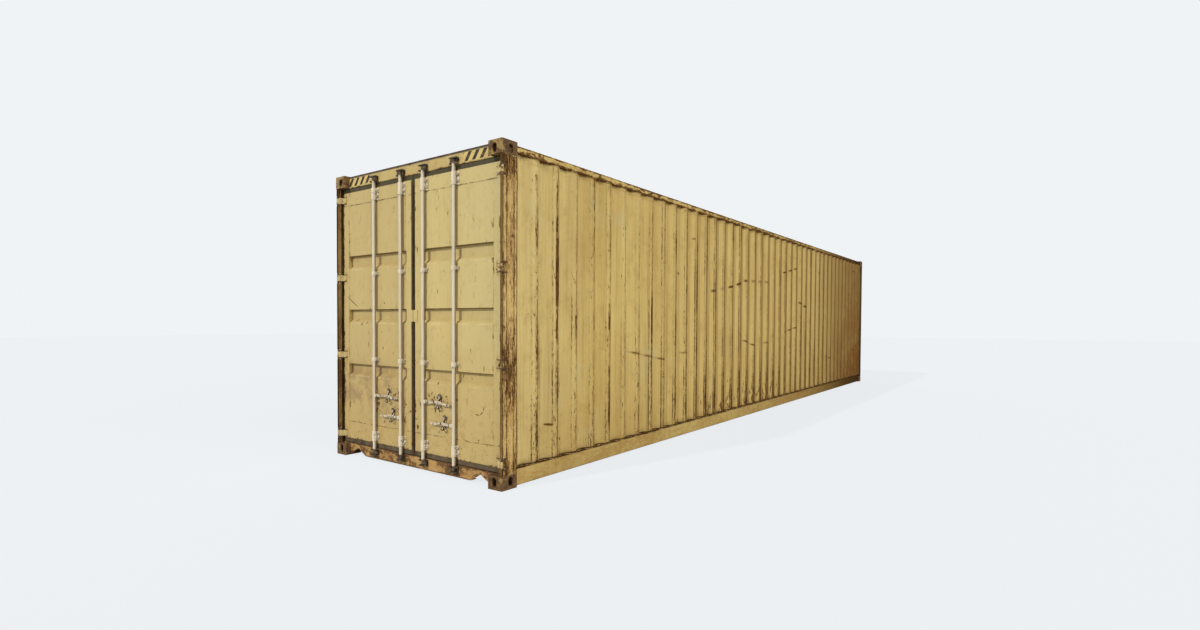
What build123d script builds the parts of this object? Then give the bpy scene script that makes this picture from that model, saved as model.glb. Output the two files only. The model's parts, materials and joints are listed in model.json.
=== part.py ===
from build123d import *
import os

os.makedirs("parts", exist_ok=True)

# Axes: X runs along the box with the doors at the low end, Y across it, Z up from the ground.
# Positions are given as an inset from the side face and a depth behind an end face.

# Overall size of a forty foot high cube box
length = 12192
width = 2438
height = 2896
half_length = length / 2
half_width = width / 2

# Corner castings
casting_length = 178
casting_width = 162
casting_height = 118
casting_wall = 15
casting_top_plate = 28.5
slot_length = 124.5
slot_width = 63.5
slot_from_end = 103.5
slot_from_side = 89.5
side_hole_height = 79.5
side_hole_width = 51
side_hole_from_end = 101.5
end_hole_from_side = 89.5
hole_above_foot = 66
post_height = height - 2 * casting_height
between_castings = half_width - casting_width
rail_half_length = half_length - casting_length

# Corner posts at the door end, as a folded sheet with an inner channel
post_sheet = 6
post_inset = 3
post_lip_depth = 6
jamb_inset = 46
post_front_depth = 28
rebate_inset = 28
rebate_depth = 64
rebate_slope_end = 78
jamb_end_depth = 100
inner_channel_depth = 150
inner_channel_sheet = 8

# Corner posts at the front end
front_post_width = 100
front_post_brace = 80
front_rail_bottom = height - casting_height

# Door end frame
end_frame_depth = 54
header_drop = 122
header_bottom = height - header_drop
header_back = 150
header_wall = 4
gutter_height = 22
sill_bottom = 16
sill_top = 127
sill_sheet = 5
sill_step_depth = 118
notch_outer = between_castings - 15
notch_peak = notch_outer - 134
notch_inner = notch_outer - 258
notch_peak_height = 85

# Rails
rail_inset = 2
top_rail_size = 60
top_rail_wall = 3
roof_drop = 28
top_rail_top = height - roof_drop
bottom_rail_bottom = 17
bottom_rail_top = 157
bottom_rail_wall = 4.5
bottom_rail_flange = 50
bottom_rail_foot = 32

# Corrugated sheet of the sides
side_sheet = 2
side_sheet_inset = 7
side_wave_depth = 36
side_wave_first = 163
side_wave_rest = 79.3
side_wave_run = length - side_wave_first - side_wave_rest
side_wave_count = round(side_wave_run / 278)
side_wave_pitch = side_wave_run / side_wave_count
side_wave_slope = 68
side_wave_flat = 70

# Corrugated sheet of the front end
front_wave_depth = 45
front_wave_count = 8
front_wave_outer = 110
front_wave_inner = 104
front_wave_slope = 18
front_sheet_depth = 6

# Roof
roof_sheet = 2
roof_edge_inset = 12
end_plate_depth = 330
roof_rib_pitch = 209
roof_rib_foot = 130
roof_rib_count = int((length - 2 * end_plate_depth - roof_rib_foot) // roof_rib_pitch) + 1
roof_rib_height = 18
roof_rib_taper = 46
roof_rib_half_span = half_width - 80
corner_plate_sheet = 3

# Floor and underframe
cross_member_height = 122
cross_member_flange = 45
cross_member_sheet = 4
cross_member_pitch = 300
floor_bottom = bottom_rail_bottom + bottom_rail_wall + cross_member_height
floor_thickness = 28
floor_top = floor_bottom + floor_thickness
floor_inset = 52
floor_gap = 3
floor_rows = 5
tunnel_length = 3315
tunnel_half_width = 514.5
tunnel_height = 120
tunnel_sheet = 4

# Door leaves, measured from the middle line of the end
leaf_inner = 24
leaf_outer = half_width - jamb_inset - 13
leaf_bottom = sill_top + 50
leaf_top = header_bottom - 47
leaf_height = leaf_top - leaf_bottom
leaf_thickness = 50
leaf_wall = 3.2
stile_width = 94
lower_bar_top = leaf_bottom + 143
upper_bar_bottom = leaf_top - 133
window_height = upper_bar_bottom - lower_bar_top
panel_sheet = 2
panel_recess = 2
groove_depth = 36
top_groove = lower_bar_top + 0.77 * window_height
middle_groove = lower_bar_top + 0.527 * window_height
low_groove = lower_bar_top + 637
groove_tops = (top_groove, middle_groove, low_groove)
groove_bottoms = (top_groove - 140, middle_groove - 140, low_groove - 123)
groove_top_slope = 10
groove_bottom_slope = 34
gap_plate_bottom = leaf_bottom + 0.478 * leaf_height
gap_plate_top = gap_plate_bottom + 110
gap_plate_thickness = 6
gap_plate_far = 62
gap_plate_seam = 3.5

# Gasket, with its lips five short of the frame and of the other door
gasket_gap = 5
gasket_web = 5
gasket_lip = 4
gasket_front_depth = 60
gasket_back_depth = 94
gasket_inner = 4

# Hinges
pin_inset = 14.5
pin_depth = 14.5
pin_radius = 9
pin_clearance = 0.1
low_hinge = leaf_bottom + 43
hinge_span = leaf_height - 118
hinge_heights = [low_hinge + share * hinge_span for share in (0, 0.34, 0.669, 1)]
blade_height = 62
blade_thickness = 10
blade_bend = 67
blade_end = 119
blade_end_height = 36
knuckle_radius = 12.5
lug_gap = 1
lug_thickness = 14
lug_edge = 2.5
lug_back = 60
pin_overhang = 5

# Lock gear
rod_depth = 31
rod_radius = 17
rod_wall = 3.5
rod_low = sill_top + 11
rod_high = header_bottom - 29
outer_line = (leaf_inner + leaf_outer) / 2 + 1.5
inner_line = leaf_inner + 144
rod_lines = (outer_line, inner_line, -inner_line, -outer_line)
hub_radius = 17
nose_reach = 42
nose_half_depth = 13
nose_height = 24
low_nose_bottom = sill_top - 51
low_nose_top = low_nose_bottom + nose_height
high_nose_bottom = header_bottom + 20
high_nose_top = high_nose_bottom + nose_height
jaw_thickness = 12
jaw_gap = 6
jaw_inner = 24
jaw_outer = 45
jaw_front = 14
bracket_clearance = 0.5
bracket_radius = 23
bracket_base = 6
bracket_near = 22
bracket_far = 50
long_brackets = ((leaf_bottom + 28, leaf_bottom + 123), (leaf_top - 127, leaf_top - 11))
short_bracket_feet = (low_groove + 43, top_groove - 220)
short_brackets = [(foot, foot + 40) for foot in short_bracket_feet]

# Handles, upper ones on the left rod of each door
upper_hub = lower_bar_top + 340
lower_hub = lower_bar_top + 155
pivot_offset = 34
pivot_pin_radius = 6
pivot_clearance = 0.1
eye_radius = 15
eye_half_thickness = 6
fork_gap = 1
fork_plate = 8
arm_height = 20
arm_half_thickness = 5
upper_tail = 360
lower_tail = 313
catch_gap = 6
catch_offset_upper = 214
catch_offset_lower = 144

door_plane = -half_length
front_plane = half_length
door_face = door_plane + end_frame_depth
pin_x = door_plane + pin_depth
pin_y = half_width - pin_inset
rod_x = door_plane + rod_depth


def bent_sheet(points, thickness):
    """Outline of a sheet folded along the points, with its thickness to their left."""
    path = [Vector(*point) for point in points]
    normals = []
    for start, end in zip(path, path[1:]):
        along = (end - start).normalized()
        normals.append(Vector(-along.Y, along.X))
    other_side = [path[0] + normals[0] * thickness]
    for point, before, after in zip(path[1:-1], normals, normals[1:]):
        mitre = thickness / (1 + before.dot(after))
        other_side.append(point + (before + after) * mitre)
    other_side.append(path[-1] + normals[-1] * thickness)
    return [(point.X, point.Y) for point in path + other_side[::-1]]


def face_of(points, mode=Mode.ADD):
    """Closed face inside the sketch that is open."""
    with BuildLine() as outline:
        Polyline(*points, close=True)
    make_face(outline.edges(), mode=mode)


def door_end(inset, depth):
    """Plan position on the right half, from the side face and the door end."""
    return door_plane + depth, inset - half_width


def front_end(inset, depth):
    """Plan position on the right half, from the side face and the front end."""
    return front_plane - depth, inset - half_width


def block(x_low, x_high, y_low, y_high, z_low, z_high, mode=Mode.ADD):
    """Box between two corners inside the part that is open."""
    centre = ((x_low + x_high) / 2, (y_low + y_high) / 2, (z_low + z_high) / 2)
    with Locations(centre):
        Box(x_high - x_low, y_high - y_low, z_high - z_low, mode=mode)


# Corner castings: hollow blocks with a slot above or below and a hole in each outer face
def corner_castings(end):
    outer_x = end * half_length
    centre_x = outer_x - end * casting_length / 2
    centre_y = half_width - casting_width / 2
    slot_x = outer_x - end * slot_from_end
    slot_y = half_width - slot_from_side
    hole_y = half_width - end_hole_from_side
    hole_x = outer_x - end * side_hole_from_end
    low_z = casting_height / 2
    high_z = height - casting_height / 2
    low_hole = hole_above_foot
    high_hole = height - hole_above_foot
    cavity_height = casting_height - casting_top_plate - casting_wall
    cavity_low = casting_top_plate + cavity_height / 2
    cavity_high = height - cavity_low
    spots = [(centre_x, y, z) for y in (-centre_y, centre_y) for z in (low_z, high_z)]
    hollows = [(centre_x, y, z) for y in (-centre_y, centre_y) for z in (cavity_low, cavity_high)]
    with BuildPart() as castings:
        with Locations(*spots):
            Box(casting_length, casting_width, casting_height)
        upright = castings.edges().filter_by(Axis.Z)
        outer_edges = [edge for edge in upright if abs(abs(edge.center().Y) - half_width) < 1]
        outer_edges = [edge for edge in outer_edges if abs(edge.center().X - outer_x) < 1]
        fillet(outer_edges, 8)
        with Locations(*hollows):
            Box(
                casting_length - 2 * casting_wall,
                casting_width - 2 * casting_wall,
                cavity_height,
                mode=Mode.SUBTRACT,
            )
        with BuildSketch(Plane.XY.offset(-1)):
            with Locations((slot_x, slot_y), (slot_x, -slot_y)):
                SlotOverall(slot_length, slot_width)
        extrude(amount=casting_top_plate + 2, mode=Mode.SUBTRACT)
        with BuildSketch(Plane.XY.offset(height - casting_top_plate - 1)):
            with Locations((slot_x, slot_y), (slot_x, -slot_y)):
                SlotOverall(slot_length, slot_width)
        extrude(amount=casting_top_plate + 2, mode=Mode.SUBTRACT)
        for side in (-1, 1):
            with BuildSketch(Plane.XZ.offset(side * (half_width - casting_wall / 2))):
                with Locations((hole_x, low_hole), (hole_x, high_hole)):
                    SlotOverall(side_hole_height, side_hole_width, rotation=90)
            extrude(amount=casting_wall / 2 + 1, both=True, mode=Mode.SUBTRACT)
        with BuildSketch(Plane.YZ.offset(outer_x - end * casting_wall / 2)):
            with Locations(*[(y, z) for y in (-hole_y, hole_y) for z in (low_hole, high_hole)]):
                SlotOverall(side_hole_height, side_hole_width, rotation=90)
        extrude(amount=casting_wall / 2 + 1, both=True, mode=Mode.SUBTRACT)
    return castings


corner_castings_door_end = corner_castings(-1)
corner_castings_door_end.part.label = "corner_castings_door_end"
export_step(corner_castings_door_end.part, "parts/corner_castings_door_end.step")

corner_castings_front_end = corner_castings(1)
corner_castings_front_end.part.label = "corner_castings_front_end"
export_step(corner_castings_front_end.part, "parts/corner_castings_front_end.step")

# Door end corner posts: folded outer section, closed behind by a channel and cut back at the hinges
notch_half = blade_height / 2 + lug_gap + lug_thickness + pin_overhang + 1
with BuildPart() as door_post_right:
    with BuildSketch(Plane.XY.offset(casting_height)):
        outer_fold = [
            door_end(jamb_inset, jamb_end_depth),
            door_end(jamb_inset, post_front_depth),
            door_end(rebate_inset, post_front_depth),
            door_end(rebate_inset, post_lip_depth),
            door_end(post_inset, post_lip_depth),
            door_end(post_inset, casting_length),
        ]
        face_of(bent_sheet(outer_fold, post_sheet))
        inner_fold = [
            door_end(post_inset + post_sheet - 1, inner_channel_depth),
            door_end(jamb_inset, inner_channel_depth),
            door_end(jamb_inset, jamb_end_depth - 4),
        ]
        face_of(bent_sheet(inner_fold, inner_channel_sheet))
    extrude(amount=post_height)
    for hinge_z in hinge_heights:
        with BuildSketch(Plane.XY.offset(hinge_z - notch_half)):
            hinge_notch = [
                door_end(-1, -1),
                door_end(rebate_inset, -1),
                door_end(rebate_inset, rebate_depth),
                door_end(post_inset, rebate_slope_end),
                door_end(-1, rebate_slope_end),
            ]
            face_of(hinge_notch)
        extrude(amount=2 * notch_half, mode=Mode.SUBTRACT)
        with BuildSketch(Plane.XY.offset(hinge_z - notch_half)):
            notch_back = [
                door_end(rebate_inset, post_front_depth),
                door_end(rebate_inset, rebate_depth),
                door_end(post_inset, rebate_slope_end),
            ]
            face_of(bent_sheet(notch_back, post_sheet))
        extrude(amount=2 * notch_half)
door_post_right.part.label = "door_post_right"
export_step(door_post_right.part, "parts/door_post_right.step")

with BuildPart() as door_post_left:
    mirror(door_post_right.part, about=Plane.XZ)
door_post_left.part.label = "door_post_left"
export_step(door_post_left.part, "parts/door_post_left.step")

# Front corner posts: pressed angle with an inner brace
with BuildPart() as front_post_right:
    with BuildSketch(Plane.XY.offset(casting_height)):
        corner_fold = [
            front_end(post_inset, casting_length),
            front_end(post_inset, post_inset),
            front_end(front_post_width, post_inset),
        ]
        face_of(bent_sheet(corner_fold, post_sheet))
        brace_fold = [
            front_end(post_inset + post_sheet - 1, front_post_brace),
            front_end(front_post_brace, front_post_brace),
            front_end(front_post_brace, post_inset + post_sheet - 1),
        ]
        face_of(bent_sheet(brace_fold, cross_member_sheet))
    extrude(amount=post_height)
front_post_right.part.label = "front_post_right"
export_step(front_post_right.part, "parts/front_post_right.step")

with BuildPart() as front_post_left:
    mirror(front_post_right.part, about=Plane.XZ)
front_post_left.part.label = "front_post_left"
export_step(front_post_left.part, "parts/front_post_left.step")

# Door header: box section with an upstanding gutter lip
with BuildPart() as door_header:
    with BuildSketch(Plane.XZ):
        header_outline = [
            (door_face, header_bottom),
            (door_plane + header_back, header_bottom),
            (door_plane + header_back, top_rail_top),
            (door_face + header_wall, top_rail_top),
            (door_face + header_wall, top_rail_top + gutter_height),
            (door_face, top_rail_top + gutter_height),
        ]
        face_of(header_outline)
        header_hollow = [
            (door_face + header_wall, header_bottom + header_wall),
            (door_plane + header_back - header_wall, header_bottom + header_wall),
            (door_plane + header_back - header_wall, top_rail_top - header_wall),
            (door_face + header_wall, top_rail_top - header_wall),
        ]
        face_of(header_hollow, mode=Mode.SUBTRACT)
    extrude(amount=between_castings, both=True)
door_header.part.label = "door_header"
export_step(door_header.part, "parts/door_header.step")

# Door sill: folded sheet with a raised step for the floor and two notches in its face
with BuildPart() as door_sill:
    step_fold = [
        (door_plane + header_back, floor_top),
        (door_plane + sill_step_depth, floor_top),
        (door_plane + sill_step_depth, sill_top),
        (door_face, sill_top),
    ]
    with BuildSketch(Plane.XZ):
        sill_fold = step_fold + [
            (door_face, sill_bottom),
            (door_plane + sill_step_depth, sill_bottom),
        ]
        face_of(bent_sheet(sill_fold, sill_sheet))
    extrude(amount=between_castings, both=True)
    with BuildSketch(Plane.YZ.offset(door_plane + header_back)):
        for side in (-1, 1):
            notch = [
                (side * notch_inner, sill_bottom - 1),
                (side * notch_inner, sill_bottom),
                (side * notch_peak, notch_peak_height),
                (side * notch_outer, sill_bottom),
                (side * notch_outer, sill_bottom - 1),
            ]
            face_of(notch)
    extrude(amount=-header_back, mode=Mode.SUBTRACT)
    for side in (-1, 1):
        with BuildSketch(Plane.XZ.offset(side * between_castings)):
            end_fold = step_fold + [(door_face, casting_height)]
            face_of(bent_sheet(end_fold, sill_sheet))
        extrude(amount=side * (half_width - jamb_inset - between_castings))
door_sill.part.label = "door_sill"
export_step(door_sill.part, "parts/door_sill.step")

# Front top rail and front sill
with BuildPart() as front_top_rail:
    rail_back = front_plane - rail_inset - top_rail_size
    block(
        rail_back,
        front_plane - rail_inset,
        -between_castings,
        between_castings,
        front_rail_bottom,
        top_rail_top,
    )
    block(
        rail_back + top_rail_wall,
        front_plane - rail_inset - top_rail_wall,
        -between_castings - 1,
        between_castings + 1,
        front_rail_bottom + top_rail_wall,
        top_rail_top - top_rail_wall,
        mode=Mode.SUBTRACT,
    )
front_top_rail.part.label = "front_top_rail"
export_step(front_top_rail.part, "parts/front_top_rail.step")

with BuildPart() as front_bottom_sill:
    with BuildSketch(Plane.XZ):
        sill_fold = [
            (front_plane - rail_inset - bottom_rail_foot, bottom_rail_bottom),
            (front_plane - rail_inset, bottom_rail_bottom),
            (front_plane - rail_inset, bottom_rail_top),
            (front_plane - rail_inset - bottom_rail_flange - 8, bottom_rail_top),
        ]
        face_of(bent_sheet(sill_fold, bottom_rail_wall))
    extrude(amount=between_castings, both=True)
    tunnel_outer = tunnel_half_width + tunnel_sheet
    block(
        front_plane - casting_length,
        front_plane,
        -tunnel_outer,
        tunnel_outer,
        0,
        tunnel_height + tunnel_sheet,
        mode=Mode.SUBTRACT,
    )
front_bottom_sill.part.label = "front_bottom_sill"
export_step(front_bottom_sill.part, "parts/front_bottom_sill.step")

# Side rails
with BuildPart() as top_side_rail_right:
    rail_centre_y = rail_inset + top_rail_size / 2 - half_width
    rail_centre_z = top_rail_top - top_rail_size / 2
    with BuildSketch(Plane.YZ):
        with Locations((rail_centre_y, rail_centre_z)):
            RectangleRounded(top_rail_size, top_rail_size, 5)
            inner_size = top_rail_size - 2 * top_rail_wall
            Rectangle(inner_size, inner_size, mode=Mode.SUBTRACT)
    extrude(amount=rail_half_length, both=True)
top_side_rail_right.part.label = "top_side_rail_right"
export_step(top_side_rail_right.part, "parts/top_side_rail_right.step")

with BuildPart() as top_side_rail_left:
    mirror(top_side_rail_right.part, about=Plane.XZ)
top_side_rail_left.part.label = "top_side_rail_left"
export_step(top_side_rail_left.part, "parts/top_side_rail_left.step")

with BuildPart() as bottom_side_rail_right:
    with BuildSketch(Plane.YZ):
        rail_fold = [
            (rail_inset + bottom_rail_flange - half_width, bottom_rail_top),
            (rail_inset - half_width, bottom_rail_top),
            (rail_inset - half_width, bottom_rail_bottom),
            (rail_inset + bottom_rail_foot - half_width, bottom_rail_bottom),
        ]
        face_of(bent_sheet(rail_fold, bottom_rail_wall))
    extrude(amount=rail_half_length, both=True)
bottom_side_rail_right.part.label = "bottom_side_rail_right"
export_step(bottom_side_rail_right.part, "parts/bottom_side_rail_right.step")

with BuildPart() as bottom_side_rail_left:
    mirror(bottom_side_rail_right.part, about=Plane.XZ)
bottom_side_rail_left.part.label = "bottom_side_rail_left"
export_step(bottom_side_rail_left.part, "parts/bottom_side_rail_left.step")

# Corrugated side walls
outer_inset = side_sheet_inset
inner_inset = side_sheet_inset + side_wave_depth
wall_start = casting_length
wall_end = length - casting_length
wave_path = [door_end(outer_inset, wall_start)]
for wave in range(side_wave_count):
    slope_in = side_wave_first + wave * side_wave_pitch
    flat_start = slope_in + side_wave_slope
    flat_end = flat_start + side_wave_flat
    slope_out = flat_end + side_wave_slope
    if wave:
        wave_path.append(door_end(outer_inset, slope_in))
    else:
        wave_path.append(door_end(outer_inset, wall_start + 8))
    wave_path.append(door_end(inner_inset, flat_start))
    wave_path.append(door_end(inner_inset, flat_end))
    wave_path.append(door_end(outer_inset, min(slope_out, wall_end - 8)))
wave_path.append(door_end(outer_inset, wall_end))

with BuildPart() as side_wall_right:
    with BuildSketch(Plane.XY.offset(bottom_rail_top)):
        face_of(bent_sheet(wave_path, side_sheet))
    extrude(amount=top_rail_top - top_rail_size - bottom_rail_top)
side_wall_right.part.label = "side_wall_right"
export_step(side_wall_right.part, "parts/side_wall_right.step")

with BuildPart() as side_wall_left:
    mirror(side_wall_right.part, about=Plane.XZ)
side_wall_left.part.label = "side_wall_left"
export_step(side_wall_left.part, "parts/side_wall_left.step")

# Corrugated front end wall
front_outer_x = front_plane - front_sheet_depth
front_inner_x = front_outer_x - front_wave_depth
front_wall_half = half_width - front_post_width
wave_run = front_wave_outer + front_wave_inner + 2 * front_wave_slope
first_wave = -(front_wave_count * wave_run - front_wave_outer) / 2
front_path = [(front_outer_x, -front_wall_half)]
for wave in range(front_wave_count):
    start = first_wave + wave * wave_run
    front_path.append((front_outer_x, start))
    front_path.append((front_inner_x, start + front_wave_slope))
    front_path.append((front_inner_x, start + front_wave_slope + front_wave_inner))
    front_path.append((front_outer_x, start + 2 * front_wave_slope + front_wave_inner))
front_path.append((front_outer_x, front_wall_half))

with BuildPart() as front_end_wall:
    with BuildSketch(Plane.XY.offset(bottom_rail_top)):
        face_of(bent_sheet(front_path, side_sheet))
    extrude(amount=front_rail_bottom - bottom_rail_top)
front_end_wall.part.label = "front_end_wall"
export_step(front_end_wall.part, "parts/front_end_wall.step")

# Roof panel with pressed ribs, and the flat plates at its ends and corners
with BuildPart() as roof_panel:
    roof_half = half_length - end_plate_depth
    block(
        -roof_half,
        roof_half,
        roof_edge_inset - half_width,
        half_width - roof_edge_inset,
        top_rail_top,
        top_rail_top + roof_sheet,
    )
    with BuildSketch(Plane.XY.offset(top_rail_top + roof_sheet)):
        with GridLocations(roof_rib_pitch, 1, roof_rib_count, 1):
            Rectangle(roof_rib_foot, 2 * roof_rib_half_span)
    extrude(amount=roof_rib_height, taper=roof_rib_taper)
    with BuildSketch(Plane.XY.offset(top_rail_top)):
        with GridLocations(roof_rib_pitch, 1, roof_rib_count, 1):
            Rectangle(
                roof_rib_foot - roof_sheet,
                2 * roof_rib_half_span - roof_sheet,
            )
    extrude(amount=roof_rib_height, taper=roof_rib_taper, mode=Mode.SUBTRACT)
roof_panel.part.label = "roof_panel"
export_step(roof_panel.part, "parts/roof_panel.step")

with BuildPart() as roof_corner_plates:
    plate_top = top_rail_top + corner_plate_sheet
    half_plate = half_width - roof_edge_inset
    block(
        door_face + header_wall,
        door_plane + casting_length,
        -between_castings,
        between_castings,
        top_rail_top,
        plate_top,
    )
    block(
        door_plane + casting_length,
        door_plane + end_plate_depth,
        -half_plate,
        half_plate,
        top_rail_top,
        plate_top,
    )
    block(
        front_plane - casting_length,
        front_plane - rail_inset,
        -between_castings,
        between_castings,
        top_rail_top,
        plate_top,
    )
    block(
        front_plane - end_plate_depth,
        front_plane - casting_length,
        -half_plate,
        half_plate,
        top_rail_top,
        plate_top,
    )
roof_corner_plates.part.label = "roof_corner_plates"
export_step(roof_corner_plates.part, "parts/roof_corner_plates.step")

# Cross members, short beside the tunnel at the front end
with BuildPart() as cross_members:
    member_bottom = bottom_rail_bottom + bottom_rail_wall
    web_face = half_width - rail_inset - bottom_rail_wall
    tunnel_start = front_plane - tunnel_length
    full_count = int((tunnel_start - door_plane - 2 * casting_length) // cross_member_pitch) + 1
    for member in range(full_count):
        member_x = door_plane + casting_length + 60 + member * cross_member_pitch
        with BuildSketch(Plane.XZ):
            member_fold = [
                (member_x + cross_member_flange, member_bottom),
                (member_x, member_bottom),
                (member_x, floor_bottom),
                (member_x + cross_member_flange, floor_bottom),
            ]
            face_of(bent_sheet(member_fold[::-1], cross_member_sheet))
        extrude(amount=web_face, both=True)
    short_count = int(tunnel_length // cross_member_pitch)
    for member in range(short_count):
        member_x = tunnel_start + 60 + member * cross_member_pitch
        for side in (-1, 1):
            with BuildSketch(Plane.XZ.offset(side * (tunnel_half_width + tunnel_sheet))):
                member_fold = [
                    (member_x + cross_member_flange, member_bottom),
                    (member_x, member_bottom),
                    (member_x, floor_bottom),
                    (member_x + cross_member_flange, floor_bottom),
                ]
                face_of(bent_sheet(member_fold[::-1], cross_member_sheet))
            extrude(amount=side * (web_face - tunnel_half_width - tunnel_sheet))
cross_members.part.label = "cross_members"
export_step(cross_members.part, "parts/cross_members.step")

# Tunnel for a gooseneck trailer, under the floor at the front end
with BuildPart() as gooseneck_tunnel:
    tunnel_fold = [
        (-tunnel_half_width, bottom_rail_bottom),
        (-tunnel_half_width, tunnel_height),
        (tunnel_half_width, tunnel_height),
        (tunnel_half_width, bottom_rail_bottom),
    ]
    with BuildSketch(Plane.YZ.offset(tunnel_start)):
        face_of(bent_sheet(tunnel_fold, tunnel_sheet))
    extrude(amount=tunnel_length - rail_inset)
    bow_height = floor_bottom - tunnel_height - tunnel_sheet
    for member in range(short_count):
        member_x = tunnel_start + 60 + member * cross_member_pitch
        block(
            member_x,
            member_x + cross_member_flange,
            -tunnel_half_width,
            tunnel_half_width,
            floor_bottom - bow_height,
            floor_bottom,
        )
gooseneck_tunnel.part.label = "gooseneck_tunnel"
export_step(gooseneck_tunnel.part, "parts/gooseneck_tunnel.step")

# Plywood floor in two columns of boards
with BuildPart() as floor_boards:
    floor_start = door_plane + header_back + floor_gap
    floor_end = front_plane - rail_inset - bottom_rail_flange - 12
    board_length = (floor_end - floor_start - (floor_rows - 1) * floor_gap) / floor_rows
    for row in range(floor_rows):
        row_x = floor_start + row * (board_length + floor_gap)
        for side in (-1, 1):
            low_y = min(side * floor_gap / 2, side * (half_width - floor_inset))
            high_y = max(side * floor_gap / 2, side * (half_width - floor_inset))
            block(row_x, row_x + board_length, low_y, high_y, floor_bottom, floor_top)
    for side in (-1, 1):
        post_y = side * (half_width - front_post_width - floor_gap)
        block(
            front_plane - front_post_width,
            front_plane,
            min(post_y, side * half_width),
            max(post_y, side * half_width),
            floor_bottom,
            floor_top,
            mode=Mode.SUBTRACT,
        )
floor_boards.part.label = "floor_boards"
export_step(floor_boards.part, "parts/floor_boards.step")

# Hinge lugs welded in the post rebates, and the hinge pins
lug_offset = blade_height / 2 + lug_gap
with BuildPart() as hinge_lugs:
    for hinge_z in hinge_heights:
        for lug_z in (hinge_z - lug_offset - lug_thickness, hinge_z + lug_offset):
            with BuildSketch(Plane.XY.offset(lug_z)):
                lug_outline = [
                    door_end(pin_inset, lug_edge),
                    door_end(rebate_inset, lug_edge),
                    door_end(rebate_inset, lug_back),
                    door_end(lug_edge, lug_back),
                    door_end(lug_edge, pin_depth),
                ]
                face_of(lug_outline)
                with Locations((pin_x, -pin_y)):
                    Circle(pin_inset - lug_edge)
                    Circle(pin_radius, mode=Mode.SUBTRACT)
            extrude(amount=lug_thickness)
    mirror(about=Plane.XZ)
hinge_lugs.part.label = "hinge_lugs"
export_step(hinge_lugs.part, "parts/hinge_lugs.step")

with BuildPart() as hinge_pins:
    for hinge_z in hinge_heights:
        pin_low = hinge_z - lug_offset - lug_thickness - pin_overhang
        with BuildSketch(Plane.XY.offset(pin_low)):
            with Locations((pin_x, -pin_y), (pin_x, pin_y)):
                Circle(pin_radius)
        extrude(amount=2 * (hinge_z - pin_low))
hinge_pins.part.label = "hinge_pins"
export_step(hinge_pins.part, "parts/hinge_pins.step")

# Cam keepers: open jaws on the header and the sill, in front of each rod end
with BuildPart() as cam_keepers:
    keeper_spans = (
        (low_nose_bottom - jaw_gap, low_nose_top + jaw_gap, -1),
        (high_nose_bottom - jaw_gap, high_nose_top + jaw_gap, 1),
    )
    for line_y in rod_lines:
        for low_z, high_z, outward in keeper_spans:
            closed_z = high_z if outward > 0 else low_z - jaw_thickness
            split_z = low_z - jaw_thickness if outward > 0 else high_z
            block(
                door_plane + jaw_front,
                door_face,
                line_y - jaw_outer,
                line_y + jaw_outer,
                closed_z,
                closed_z + jaw_thickness,
            )
            for side in (-1, 1):
                near_y = line_y + side * jaw_inner
                far_y = line_y + side * jaw_outer
                block(
                    door_plane + jaw_front,
                    door_face,
                    min(near_y, far_y),
                    max(near_y, far_y),
                    split_z,
                    split_z + jaw_thickness,
                )
                block(
                    door_face - 4,
                    door_face,
                    min(near_y, far_y),
                    max(near_y, far_y),
                    low_z,
                    high_z,
                )
cam_keepers.part.label = "cam_keepers"
export_step(cam_keepers.part, "parts/cam_keepers.step")


# Doors: hollow frame, grooved panel, gasket and hinge blades, drawn for the right door
with BuildPart() as right_door_frame:
    with BuildSketch(Plane.YZ.offset(door_face)):
        leaf_centre = (-(leaf_inner + leaf_outer) / 2, (leaf_bottom + leaf_top) / 2)
        window_centre = (leaf_centre[0], (lower_bar_top + upper_bar_bottom) / 2)
        leaf_width = leaf_outer - leaf_inner
        window_width = leaf_width - 2 * stile_width
        with Locations(leaf_centre):
            Rectangle(leaf_width, leaf_height)
        with Locations(window_centre):
            Rectangle(window_width, window_height, mode=Mode.SUBTRACT)
    extrude(amount=leaf_thickness)
    with BuildSketch(Plane.YZ.offset(door_face + leaf_wall)):
        with Locations(leaf_centre):
            Rectangle(leaf_width - 2 * leaf_wall, leaf_height - 2 * leaf_wall)
        with Locations(window_centre):
            Rectangle(
                window_width + 2 * leaf_wall,
                window_height + 2 * leaf_wall,
                mode=Mode.SUBTRACT,
            )
    extrude(amount=leaf_thickness - 2 * leaf_wall, mode=Mode.SUBTRACT)
    with BuildSketch(Plane.XY.offset(leaf_bottom)):
        with Locations((door_face + leaf_thickness / 2, leaf_centre[0])):
            with GridLocations(1, 400, 1, 3):
                Circle(6)
    extrude(amount=leaf_wall, both=True, mode=Mode.SUBTRACT)
    block(
        door_face - gap_plate_thickness,
        door_face,
        -gap_plate_far,
        -gap_plate_seam,
        gap_plate_bottom,
        gap_plate_top,
    )
right_door_frame.part.label = "right_door_frame"
export_step(right_door_frame.part, "parts/right_door_frame.step")

panel_x = door_face + panel_recess
panel_path = [(panel_x, upper_bar_bottom)]
for groove_top, groove_bottom in zip(groove_tops, groove_bottoms):
    panel_path.append((panel_x, groove_top))
    panel_path.append((panel_x + groove_depth, groove_top - groove_top_slope))
    panel_path.append((panel_x + groove_depth, groove_bottom + groove_bottom_slope))
    panel_path.append((panel_x, groove_bottom))
panel_path.append((panel_x, lower_bar_top))
with BuildPart() as right_door_panel:
    with BuildSketch(Plane.XZ.offset(leaf_inner + stile_width)):
        face_of(bent_sheet(panel_path, panel_sheet))
    extrude(amount=leaf_outer - leaf_inner - 2 * stile_width)
right_door_panel.part.label = "right_door_panel"
export_step(right_door_panel.part, "parts/right_door_panel.step")

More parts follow.
